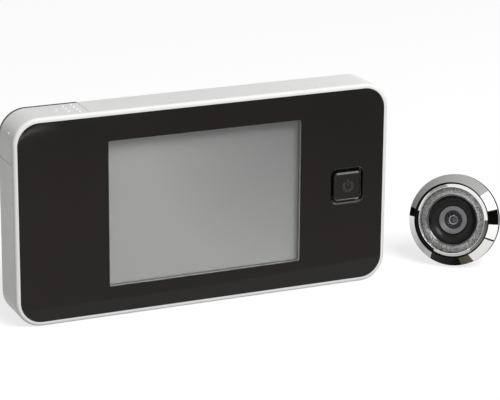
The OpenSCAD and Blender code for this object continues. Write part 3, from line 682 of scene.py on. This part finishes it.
# %% Nut, washer, foam ring and gland
nut_aluminium = finish("turned aluminium", (0.6, 0.6, 0.61), 0.28, 1.0, vary=(0.05, 90),
                       wear=(0.08, 160))
turning_marks(nut_aluminium, 0.004, 5200)
washer_grey = finish("grey nylon washer", (0.16, 0.16, 0.165), 0.5, vary=(0.06, 90),
                     bump=(0.004, 2600))
gasket_foam = finish("black foam ring", (0.018, 0.018, 0.018), 0.9, vary=(0.25, 1600),
                     bump=(0.09, 3600))
grommet_rubber = finish("black rubber gland", (0.014, 0.014, 0.014), 0.62, vary=(0.1, 90),
                        bump=(0.006, 2400))
dress("clamp_nut", nut_aluminium, bevel=0.12)
dress("clamp_washer", washer_grey, bevel=0.15)
dress("door_gasket", gasket_foam)
dress("cable_grommet", grommet_rubber, bevel=0.3)
print("clamping pieces dressed")

# %% [markdown]
# ## Screws
# The set has two lengths of the same small cross-recess screw. The head is turned, and the cross is
# made by filling the ring between the head's rim and the outline of a cross, whose sides then go
# down. The thread tree threads the shank, and a second tree puts a copy at every place.

# %% One screw, pointing up, with its head's underside at zero
SHANK_RADIUS = 0.74
CROSS_QUARTER = ((0.95, -0.22, 0), (0.95, 0.22, 0), (0.22, 0.22, 0))
CROSS_FLOOR = 0.72


def screw_core(length, head_r=1.9, head_h=1.2, flat_r=1.2, depth=0.7):
    shape = bmesh.new()
    profile = filleted([(0, -length, 0), (0.3, -length, 0), (SHANK_RADIUS, 0.6 - length, 0),
                        (SHANK_RADIUS, 0, 0), (head_r, 0, 0.08), (head_r, head_h, 0.4),
                        (flat_r, head_h, 0)])
    revolved(shape, profile, 32, closed=False)
    rim = [edge for edge in shape.edges
           if edge.is_boundary and abs(edge.verts[0].co.z - head_h) < TINY]
    cross = []
    for quarter in range(4):
        turn = Matrix.Rotation(quarter * math.pi / 2, 3, "Z")
        cross += [turn @ Vector(p) for p in CROSS_QUARTER]
    top = [shape.verts.new((p.x, p.y, head_h)) for p in cross]
    low = [shape.verts.new((CROSS_FLOOR * p.x, CROSS_FLOOR * p.y, head_h - depth)) for p in cross]
    outline = [shape.edges.new((top[k - 1], top[k])) for k in range(len(cross))]
    bmesh.ops.triangle_fill(shape, edges=rim + outline, use_beauty=True)
    for k in range(len(cross)):
        shape.faces.new((top[k - 1], top[k], low[k], low[k - 1]))
    shape.faces.new(low)
    return mesh_from(shape, "screw core")


# %% A tree that puts a copy of a piece at every point
def copies_tree():
    tree, given = geometry_tree("copies at places", piece="Object", finish="Material")
    source = add(tree, "ObjectInfo", Object=given["piece"]).outputs["Geometry"]
    facing = result(tree, "InputNamedAttribute", {"data_type": "FLOAT_VECTOR"}, Name="facing")
    turn = result(tree, "FunctionNodeEulerToRotation", i0=facing)
    copies = result(tree, "InstanceOnPoints", Points=given["Geometry"], Instance=source,
                    Rotation=turn)
    return end_tree(tree, copies, given)


COPIES = copies_tree()


def copied(mesh, spots, material):
    """The mesh, in millimetres, copied to every spot with its turn, as one mesh in metres."""
    points = bpy.data.meshes.new("places")
    points.from_pydata([point for point, turn in spots], [], [])
    points.attributes.new("facing", "FLOAT_VECTOR", "POINT").data.foreach_set(
        "vector", [angle for point, turn in spots for angle in turn])
    source = finished_object("one of many", mesh)
    copies = grow("many", COPIES, points, material, piece=source)
    bpy.data.objects.remove(source)
    copies.transform(IN_MM)
    return copies


# %% The board's four screws and the case's three
screw_steel = finish("zinc plated steel", (0.56, 0.57, 0.58), 0.26, 1.0, vary=(0.06, 900),
                     wear=(0.08, 1200))
TOWARDS_BACK = (-math.pi / 2, 0, 0)
SCREWS = {"board_screws": (4.8, 0.7, [(-32.3, 4.1), (-32.3, 61.9), (50.1, 5.1), (50.1, 60.9)]),
          "case_screws": (8.6, 5.1, [(57.3, 8.4), (57.3, 57.6), (-55.7, 6.6)])}
for node, (length, seat, spots) in SCREWS.items():
    one = grow("screw", THREAD, screw_core(length), screw_steel, core_radius=SHANK_RADIUS,
               depth=0.2, pitch=0.7, first=0.7 - length, length=length - 1.0, steps=20)
    screws = copied(one, [((x, seat, z), TOWARDS_BACK) for x, z in spots], screw_steel)
    keep("cross_" + node, screws, node)

# %% [markdown]
# ## The battery's contacts and cells
# Under the left cell stands a conical coil of spring wire. A spiral with a smaller last radius,
# swept by a round profile, is exactly such a coil, and two closed rings end it. The cells are
# turned, with a plain printed jacket and bare metal ends.

# %% A tree that winds a wire
def winding_tree():
    tree, given = geometry_tree("wound wire", turns="Float", first_radius="Float",
                                last_radius="Float", height="Float", wire="Float", steps="Int",
                                finish="Material")
    round_wire = result(tree, "CurvePrimitiveCircle", Resolution=10, Radius=given["wire"])
    swept = swept_spiral(tree, given, given["turns"], "first radius", "last radius", "height",
                         round_wire)
    return end_tree(tree, join(tree, swept, given), given)


WINDING = winding_tree()

# %% The conical coil and the other contacts
contact_nickel = finish("bright nickel contact", (0.66, 0.63, 0.56), 0.2, 1.0, vary=(0.05, 600),
                        wear=(0.08, 900))
COIL_FOOT, COIL_TOP, COIL_HEIGHT, WIRE = 3.6, 1.9, 4.0, 0.3
rings = bmesh.new()
for radius, z in ((COIL_FOOT, 0.0), (COIL_TOP, COIL_HEIGHT)):
    section = [Vector((radius + WIRE * math.cos(a), z + WIRE * math.sin(a)))
               for a in (k * math.pi / 5 for k in range(10))]
    revolved(rings, section, 48)
coil = grow("coil", WINDING, mesh_from(rings, "end rings"), contact_nickel, turns=4.0,
            first_radius=COIL_FOOT, last_radius=COIL_TOP, height=COIL_HEIGHT, wire=WIRE, steps=48)
keep("conical_coil", coil, "contact_spring",
     place=Matrix.Translation((-0.05495, 0, 0.012)) @ IN_MM)
dress("contact_leaf", contact_nickel, bevel=0.05)
dress("cover_contact", contact_nickel, bevel=0.05)

# %% Two cells
JACKET, BAND = (0.035, 0.05, 0.075), (0.45, 0.46, 0.47)
BAND_FROM = 0.048
jacket = finish("printed film jacket", JACKET, 0.25, vary=(0.05, 90), bump=(0.002, 1500),
                Coat_Weight=0.3, Coat_Roughness=0.1)
tree = jacket.node_tree
band = result(tree, "MapRange", Value=object_axes(tree)["Z"], From_Min=BAND_FROM - 0.0001,
              From_Max=BAND_FROM)
paint(jacket, band, JACKET, BAND)
cell_steel = finish("plated cell end", (0.62, 0.61, 0.6), 0.22, 1.0, vary=(0.04, 90),
                    wear=(0.06, 160))
CELL = [(0, 0.1, 0), (3.4, 0.1, 0.1), (3.6, 0.3, 0.05), (4.2, 0, 0.1), (5.1, 0, 0.4),
        (5.1, 43.7, 0.45), (4.1, 43.7, 0.1), (3.9, 43.5, 0.1), (2.0, 43.5, 0.15), (1.9, 44.5, 0.3),
        (0, 44.5, 0)]
BARE_INSIDE = 4.15
PLACES = {"left": Matrix.Translation((-0.05495, 0, 0.0165)),
          "right": Matrix.Translation((-0.04375, 0, 0.061)) @ Matrix.Rotation(math.pi, 4, "X")}
for side, place in PLACES.items():
    cell = turned_mesh("cell", CELL, 64, slot_of=lambda p: int(p.x <= BARE_INSIDE))
    keep("cell_" + side, cell, "battery_cell_" + side, jacket, cell_steel, place=place @ IN_MM)

# %% [markdown]
# ## The circuit board
# Green lacquer lies over copper traces, which show as slightly lighter lines. Two brick patterns,
# one turned, give lines that run along the board and across it, and a coarse noise breaks them up.
# Chips are low black blocks with gull-wing pins, and the pins are one small mesh copied to places.

# %% Board finishes
def traces(material, lacquer, copper, scale):
    """Two sets of lines, along X and along Z, in place of the plain colour."""
    tree = material.node_tree
    axes = object_axes(tree)
    along, across = (result(tree, "CombineXYZ", X=axes[first], Y=axes[second])
                     for first, second in ("XZ", "ZX"))
    lines = [add(tree, "TexBrick", {"offset": 0.37, "squash": 1.7}, Vector=place, Scale=scale,
                 Mortar_Size=0.035, Mortar_Smooth=0.1, Brick_Width=2.6,
                 Row_Height=0.45).outputs[1] for place in (along, across)]
    patch = result(tree, "TexNoise", Vector=along, Scale=scale * 0.4)
    where = result(tree, "MapRange", Value=patch, From_Min=0.48, From_Max=0.5)
    either = result(tree, "Mix", {"data_type": "FLOAT"}, i0=where, i2=lines[0], i3=lines[1])
    paint(material, either, lacquer, copper)


board_green = finish("green lacquered board", (0.012, 0.07, 0.028), 0.3, vary=(0.06, 300))
traces(board_green, (0.010, 0.06, 0.025), (0.05, 0.16, 0.06), 700)
chip_black = finish("moulded chip", (0.017, 0.017, 0.018), 0.5, vary=(0.08, 90), bump=(0.006, 5000))
dress("main_board", board_green)
dress("sensor_board", board_green, bevel=0.05)
print("boards dressed")

# %% Chip bodies
CHIPS = [((36, 21), 12, 12), ((36, 39), 12, 8), ((-30, 21), 6, 6), ((-30, 39), 6, 12)]
PIN_REACH = 0.75
BODY_THICKNESS, BODY_MIDDLE = 1.2, 1.45
bodies = bmesh.new()
for (x, z), width, height in CHIPS:
    size = (width - 2 * PIN_REACH, BODY_THICKNESS, height - 2 * PIN_REACH, 1)
    block = bmesh.ops.create_cube(
        bodies, size=1, matrix=Matrix.Translation((x, BODY_MIDDLE, z)) @ Matrix.Diagonal(size))
    edges = {edge for vertex in block["verts"] for edge in vertex.link_edges}
    bmesh.ops.bevel(bodies, geom=list(edges), offset=0.12, segments=2, profile=0.5,
                    affect="EDGES")
keep("chip_bodies", mesh_from(bodies, "chip bodies"), "board_chips", chip_black, place=IN_MM)


# %% Chip pins
def gull_wing(width=0.3, thick=0.12):
    """A bent pin that leaves its block along X at mid height and ends on the board."""
    line = [(-0.1, 0.55), (0.28, 0.55), (0.42, 0.0), (0.74, 0.0)]
    corners = [(0, -width / 2), (thick, -width / 2), (thick, width / 2), (0, width / 2)]
    return lofted("gull wing pin", [[(x, y + up, side) for up, side in corners] for x, y in line])


PIN_PITCH, CORNER_MARGIN, PIN_FOOT = 0.65, 0.6, 0.72
pin_spots = []
for (x, z), width, height in CHIPS:
    for side in range(4):
        turned_by = side * math.pi / 2
        run, reach = (height, width) if side % 2 == 0 else (width, height)
        if run < reach:
            continue
        count = int((run - 2 * PIN_REACH - CORNER_MARGIN) / PIN_PITCH)
        for k in range(count):
            spot = Vector((reach / 2 - PIN_REACH, 0, (k - (count - 1) / 2) * PIN_PITCH))
            spot.rotate(Matrix.Rotation(turned_by, 3, "Y"))
            pin_spots.append(((x + spot.x, PIN_FOOT, z + spot.z), (0, turned_by, 0)))
keep("chip_pins", copied(gull_wing(), pin_spots, contact_nickel), "board_chips", replace=False)

# %% Two wound coils
ferrite = finish("dark ferrite", (0.028, 0.026, 0.026), 0.6, vary=(0.12, 90), bump=(0.01, 2600))
copper_wire = finish("lacquered copper wire", (0.55, 0.2, 0.075), 0.25, 1.0, vary=(0.08, 1500))
DRUM = [(0, 0, 0), (2.4, 0, 0.1), (2.4, 0.45, 0.1), (1.35, 0.5, 0.05), (1.35, 1.85, 0.05),
        (2.4, 1.9, 0.1), (2.4, 2.4, 0.15), (0, 2.4, 0)]
COIL_SPOTS = [((x, 0.7, 51), TOWARDS_BACK) for x in (36, 30.2)]
keep("coil_drums", copied(turned_mesh("drum", DRUM, 48), COIL_SPOTS, ferrite), "board_coils")
winding = grow("winding", WINDING, bpy.data.meshes.new("nothing yet"), copper_wire, turns=6.0,
               first_radius=1.75, last_radius=1.75, height=1.1, wire=0.13, steps=32)
winding.transform(Matrix.Translation((0, 0, 0.63)))
keep("coil_windings", copied(winding, COIL_SPOTS, copper_wire), "board_coils", replace=False)

# %% [markdown]
# ## The camera's socket
# The socket's ivory shell is right as a solid. Its four contacts are short square pins with pointed
# tips, set in a row on the floor of the mouth.

# %% Socket and contacts
socket_ivory = finish("ivory nylon", (0.68, 0.64, 0.53), 0.4, vary=(0.03, 90), bump=(0.003, 1800))
dress("camera_socket", socket_ivory, bevel=0.12)


def square_pin(side, length, tip):
    corners = ((-1, -1), (1, -1), (1, 1), (-1, 1))
    levels = ((side / 2, 0), (side / 2, length - tip), (side / 5, length))
    return lofted("square pin", [[(x * r, y * r, z) for x, y in corners] for r, z in levels])


spots = [((-3 + 2 * k, 1.65, 26), TOWARDS_BACK) for k in range(4)]
contacts = copied(square_pin(side=0.6, length=2.0, tip=0.4), spots, contact_nickel)
keep("socket_contacts", contacts, "camera_socket", replace=False)

# %% [markdown]
# ## What lies inside and behind
# The remaining solids keep their shape and get the finish of what they are: the display's pressed
# steel tray and amber film, the switch and its plunger, the battery bay, and the brushed steel
# bracket, whose grain is a noise stretched along the sheet.

# %% The amber film has fine dark stripes
AMBER, STRIPE, STRIPE_PITCH = (0.42, 0.16, 0.02), (0.2, 0.07, 0.012), 0.5
amber_film = finish("amber film", AMBER, 0.22, vary=(0.04, 90), Coat_Weight=0.4,
                    Coat_Roughness=0.05)
tree = amber_film.node_tree
turns = sums(tree, "MULTIPLY", object_axes(tree)["X"], 2 * math.pi / (STRIPE_PITCH * MM))
striped = sums(tree, "GREATER_THAN", sums(tree, "SINE", turns), 0.0)
paint(amber_film, striped, AMBER, STRIPE)

# %% Tray, film, switch, bay and bracket
tray_steel = finish("pressed tin plate", (0.55, 0.56, 0.56), 0.34, 1.0, vary=(0.05, 90),
                    wear=(0.1, 500), stretch=(1, 1, 12))
stem_white = finish("white plunger", (0.7, 0.7, 0.68), 0.35, vary=(0.02, 90))
switch_black = finish("black switch body", (0.02, 0.02, 0.021), 0.42, vary=(0.06, 90),
                      bump=(0.003, 3000))
bay_black = finish("moulded battery bay", (0.02, 0.02, 0.0205), 0.45, vary=(0.08, 90),
                   bump=(0.008, 1800))
bracket_steel = finish("brushed steel sheet", (0.5, 0.51, 0.52), 0.34, 1.0, vary=(0.05, 160),
                       wear=(0.12, 260), bump=(0.006, 260), stretch=(1, 1, 22))
for node, material, bevel in (("display_tray", tray_steel, 0.12),
                              ("display_ribbon", amber_film, 0.0),
                              ("switch_stem", stem_white, 0.12),
                              ("power_switch", switch_black, 0.1),
                              ("battery_bay", bay_black, 0.1),
                              ("door_bracket", bracket_steel, 0.12)):
    dress(node, material, bevel=bevel)
print("inner pieces and bracket dressed")

# %% [markdown]
# ## The sign on the button
# The usual sign for power, an open ring with a bar, is printed on the button in outline. Its
# outline is a thin line swept along two closed paths, half sunk in the cap.

# %% A tree that draws a line along a path
def line_tree():
    tree, given = geometry_tree("printed line", wire="Float", finish="Material")
    path = result(tree, "MeshToCurve", Mesh=given["Geometry"])
    profile = result(tree, "CurvePrimitiveCircle", Resolution=6, Radius=given["wire"])
    swept = result(tree, "CurveToMesh", Curve=path, Profile_Curve=profile)
    return end_tree(tree, swept, given)


# %% The power sign in outline
SIGN_CENTRE = (48.6, -7.49, 33)


def sign_paths(inner=1.25, outer=1.8, gap=math.radians(38), half_bar=0.27, steps=36):
    """The outlines of the open ring and of the bar, on the cap's face."""
    angles = [gap + (2 * math.pi - 2 * gap) * k / steps for k in range(steps + 1)]
    ring = [(outer * math.sin(a), outer * math.cos(a)) for a in angles]
    ring += [(inner * math.sin(a), inner * math.cos(a)) for a in reversed(angles)]
    bar = [(-half_bar, 0.2), (half_bar, 0.2), (half_bar, 2.0), (-half_bar, 2.0)]
    middle_x, face_y, middle_z = SIGN_CENTRE
    points, edges = [], []
    for path in (ring, bar):
        first = len(points)
        points += [(middle_x + x, face_y, middle_z + z) for x, z in path]
        edges += [(first + k, first + (k + 1) % len(path)) for k in range(len(path))]
    mesh = bpy.data.meshes.new("sign paths")
    mesh.from_pydata(points, edges, [])
    return mesh


sign_ink = finish("grey ink", (0.17, 0.17, 0.165), 0.4, vary=(0.05, 90))
sign = grow("sign", line_tree(), sign_paths(), sign_ink, wire=0.045)
keep("power_sign", sign, "switch_stem", body="power_key", place=IN_MM, replace=False)

# %% [markdown]
# ## The floor and the light
# The floor is plain and pale. Rays from the camera, from gloss and through glass see it close to
# white, with a share of ordinary diffuse light in it, so that the object's shadow stays. Rays that
# light the object see an ordinary pale floor, which keeps the light on the object at a plain level.

# %% Two views of one surface
def background_rays(tree):
    path = add(tree, "LightPath").outputs
    either = sums(tree, "MAXIMUM", path["Is Camera Ray"], path["Is Glossy Ray"])
    return sums(tree, "MAXIMUM", either, path["Is Transmission Ray"])


def seen_and_lighting(tree, lighting, seen):
    """Rays that show a background meet one shader, and rays that light the object the other."""
    return result(tree, "MixShader", i0=background_rays(tree), i1=lighting, i2=seen)


def gray(value):
    return (value, value, value)


# %% The floor
FLOOR_TONE, FLOOR_SHARE, FLOOR_GLOW = 0.37, 0.3, 0.76
FLOOR_HALF = 6
floor_paint, tree = new_material("pale floor")
tree.nodes.clear()
plain = result(tree, "BsdfDiffuse", Color=(*gray(FLOOR_TONE), 1))
weak = result(tree, "BsdfDiffuse", Color=(*gray(FLOOR_SHARE), 1))
glow = result(tree, "Emission", Strength=FLOOR_GLOW)
pale = result(tree, "AddShader", i0=weak, i1=glow)
add(tree, "OutputMaterial", Surface=seen_and_lighting(tree, plain, pale))
floor_paint.cycles.emission_sampling = "NONE"
floor_mesh = bpy.data.meshes.new("floor")
floor_mesh.from_pydata([(FLOOR_HALF * x, FLOOR_HALF * y, 0) for x in (-1, 1) for y in (-1, 1)], [],
                       [(0, 2, 3, 1)])
finished_object("floor", floor_mesh, [floor_paint])
print("floor laid,", 2 * FLOOR_HALF, "m wide")

# %% The world and one large soft lamp
WORLD_LEVEL = 0.17
world = bpy.data.worlds.new("studio")
world.use_nodes = True
bpy.context.scene.world = world
tree = world.node_tree
tree.nodes.clear()
white = result(tree, "Background", Color=(1, 1, 1, 1), Strength=1.0)
soft = result(tree, "Background", Color=(1, 1, 1, 1), Strength=WORLD_LEVEL)
add(tree, "OutputWorld", Surface=seen_and_lighting(tree, soft, white))

LAMP_AT, LAMP_AIM = Vector((0.35, -1.15, 1.45)), Vector((0, 0, 0.03))
LAMP_SIZE, LAMP_WATTS = 0.9, 34.5
lamp_data = bpy.data.lights.new("key", "AREA")
lamp_data.shape = "SQUARE"
lamp_data.size, lamp_data.energy = LAMP_SIZE, LAMP_WATTS
lamp = bpy.data.objects.new("key", lamp_data)
lamp.location = LAMP_AT
lamp.rotation_euler = (LAMP_AIM - LAMP_AT).to_track_quat("-Z", "Y").to_euler()
lamp.visible_glossy = False
bpy.context.scene.collection.objects.link(lamp)
print("lamp", round((LAMP_AIM - LAMP_AT).length, 2), "m from the part")

# %% [markdown]
# ## Cards
# Chrome shows its surroundings, and in an all-white studio it would vanish. A photographer puts
# grey and black cards round it. To know where a card must stand, the view is mirrored here in the
# curved bezel: for an angle on its dial, the reflected rays say where the card's edge belongs. The
# inner ring and the dish get their cards in the same way, close by. All cards are seen by polished
# surfaces alone. The dark cards under the head and the ring's black card are painted shadow: they
# stand in for the head's contact shadow and for the monitor's shadow on the floor behind it.

# %% A card, seen only in polished surfaces
def card(name, points, faces, tones):
    """The two tones, grey levels or colours, are at the card's first point and at its last."""
    material, tree = new_material(name)
    tree.nodes.clear()
    tone = add(tree, "Attribute", {"attribute_name": "tone"}).outputs["Color"]
    glow = result(tree, "Emission", Color=tone, Strength=1.0)
    add(tree, "OutputMaterial", Surface=glow)
    material.cycles.emission_sampling = "NONE"
    mesh = bpy.data.meshes.new(name)
    mesh.from_pydata(points, [], faces)
    start, end = (tone if isinstance(tone, tuple) else gray(tone) for tone in tones)
    colors = mesh.attributes.new("tone", "FLOAT_COLOR", "POINT").data
    for n in range(len(points)):
        part = n / (len(points) - 1)
        colors[n].color = (*[a + (b - a) * part for a, b in zip(start, end)], 1)
    piece = finished_object(name, mesh, [material])
    for kind in ("camera", "diffuse", "shadow", "transmission"):
        setattr(piece, "visible_" + kind, False)


# %% Where a turned mirror sends the camera's view
def mirror_line(profile):
    """Points of a turned mirror: radius, height, and the two parts of its normal there."""
    line = []
    for n in range(len(profile)):
        before, after = profile[max(n - 1, 0)], profile[min(n + 1, len(profile) - 1)]
        run = (Vector(after[:2]) - Vector(before[:2])).normalized()
        line.append((*profile[n][:2], run.y, -run.x))
    return line


def mirrored(line_point, dial):
    """The point at an angle on the dial, in degrees, and the direction of the ray from there."""
    r, z, out, up = line_point
    across = Vector((math.sin(math.radians(dial)), math.cos(math.radians(dial)), 0))
    at = CAMERA_PLACE @ (across * r + Vector((0, 0, z)))
    normal = (CAMERA_PLACE.to_3x3() @ (across * out + Vector((0, 0, up)))).normalized()
    return at, (at - VIEW_AT).normalized().reflect(normal)


# %% A card bent along those rays
ABOVE_FLOOR = 0.0002


def bent_card(line, name, first, last, first_tone, last_tone, reach, steps):
    points, faces = [], []
    for k in range(steps + 1):
        for spot in line:
            at, ray = mirrored(spot, first + (last - first) * k / steps)
            away = reach * MM
            if ray.z < 0:
                away = min(away, (at.z - ABOVE_FLOOR) / -ray.z)
            points.append(at + ray * away)
    width = len(line)
    for k in range(steps):
        for n in range(width - 1):
            a = k * width + n
            faces.append((a, a + 1, a + 1 + width, a + width))
    card(name, points, faces, (first_tone, last_tone))


# %% The bent cards: dial angles, tones, distance and steps
BLACK = 0.004
BEZEL_LINE = mirror_line([(15.1, -0.02), *bow[::2], (12.1, 3.6)])
RING_LINE = mirror_line([(12.0, 2.7), (11.8, 2.8), (11.5, 2.93), (11.2, 3.04)])
DISH_LINE = mirror_line(bowl[14:24])
BENT_CARDS = [
    (BEZEL_LINE, "grey card above", 281.5, 345, 0.155, 0.39, 250, 20),
    (BEZEL_LINE, "lighter card above", 345, 405, 0.39, 0.52, 250, 20),
    (BEZEL_LINE, "black flag at the right", 70.5, 90, BLACK, BLACK, 90, 12),
    (BEZEL_LINE, "white window at the right", 45, 69, 1.5, 1.5, 400, 12),
    (BEZEL_LINE, "thin strip", 110, 112.2, BLACK, BLACK, 250, 2),
    (BEZEL_LINE, "cream card on the floor", 112.2, 147.5, (0.85, 0.84, 0.81), (0.8, 0.79, 0.76),
     250, 12),
    # Painted shadow: the two cards under the head stand in for the head's contact shadow on the
    # floor.
    (BEZEL_LINE, "brown card under the head", 147.5, 164, (0.11, 0.095, 0.07), (0.07, 0.06, 0.045),
     250, 12),
    (BEZEL_LINE, "black card under the head", 164, 206, BLACK, 0.03, 250, 12),
    (BEZEL_LINE, "grey card at the left", 206, 227, 0.45, 0.38, 120, 12),
    (BEZEL_LINE, "pale card at the left", 227, 269.5, 0.4, 0.78, 120, 12),
    (BEZEL_LINE, "black card at the left", 269.5, 281.5, BLACK, BLACK, 120, 12),
    # Painted shadow: the ring's black card stands in for the monitor's shadow on the floor behind
    # it.
    (RING_LINE, "black card for the ring", 206, 280, BLACK, BLACK, 14, 12),
    (RING_LINE, "grey card for the ring", 84, 142, 0.1, 0.25, 14, 12),
    (RING_LINE, "pale card for the ring", 142, 206, 0.5, 0.6, 14, 12),
    (DISH_LINE, "lit card for the dish", 214, 238, 8, 8, 5, 12),
]
for entry in BENT_CARDS:
    bent_card(*entry)
print(len(BENT_CARDS), "bent cards set up")

# %% [markdown]
# ## Flat cards
# The front panel is a plane mirror that shows the table in front of it, so its cards lie on the
# floor. One fades away from the monitor, and beyond it a lit wedge shows up in the panel's top left
# corner, with a dark card behind. The polished bevels of the button are tiny mirrors too. A card
# further off would show in the chrome as well, so three narrow cards lie at the button's own gap.

# %% Cards on the floor and in the button's gap
def flat_card(name, points, faces, tones, z=0.5):
    card(name, [Vector((x, y, z)) * MM for x, y in points], faces, tones)


STRIP_LEFT, STRIP_RIGHT, STRIP_TIP = (-7.5, -203.6), (31.2, -225.7), (-1.6, -216.4)
flat_card("card in front of the panel",
          [(-72, -20), (0, -20), (76, -26), STRIP_LEFT, STRIP_RIGHT, (80, -240), (190, -240)],
          [(0, 1, 4, 3), (1, 2, 6, 5, 4)], ((0.9, 0.85, 0.79), (0.36, 0.35, 0.33)))
flat_card("lit strip beyond it", [STRIP_LEFT, STRIP_RIGHT, STRIP_TIP], [(0, 1, 2)], (5, 4.5))
flat_card("dark card beyond the strip", [STRIP_TIP, STRIP_RIGHT, (60, -270), (-20, -270)],
          [(0, 1, 2, 3)], (0.2, 0.2))
BUTTON_CARDS = [("cap's upper bevel", 44.4, 53.6, -8.1, -7.1, 38.3, 7),
                ("cap's lower bevel", 44, 53.4, -7.35, -6.7, 28.1, 1.3),
                ("opening's lower bevel", 43.5, 54.5, -7.45, -6.4, 27.75, 4.5)]
for name, x0, x1, y0, y1, z, tone in BUTTON_CARDS:
    flat_card(f"card for the {name}", [(x0, y0), (x1, y0), (x1, y1), (x0, y1)], [(0, 1, 2, 3)],
              (tone, tone), z)
print("cards set up")

# %% The last steps
bpy.context.scene.view_settings.view_transform = "Standard"
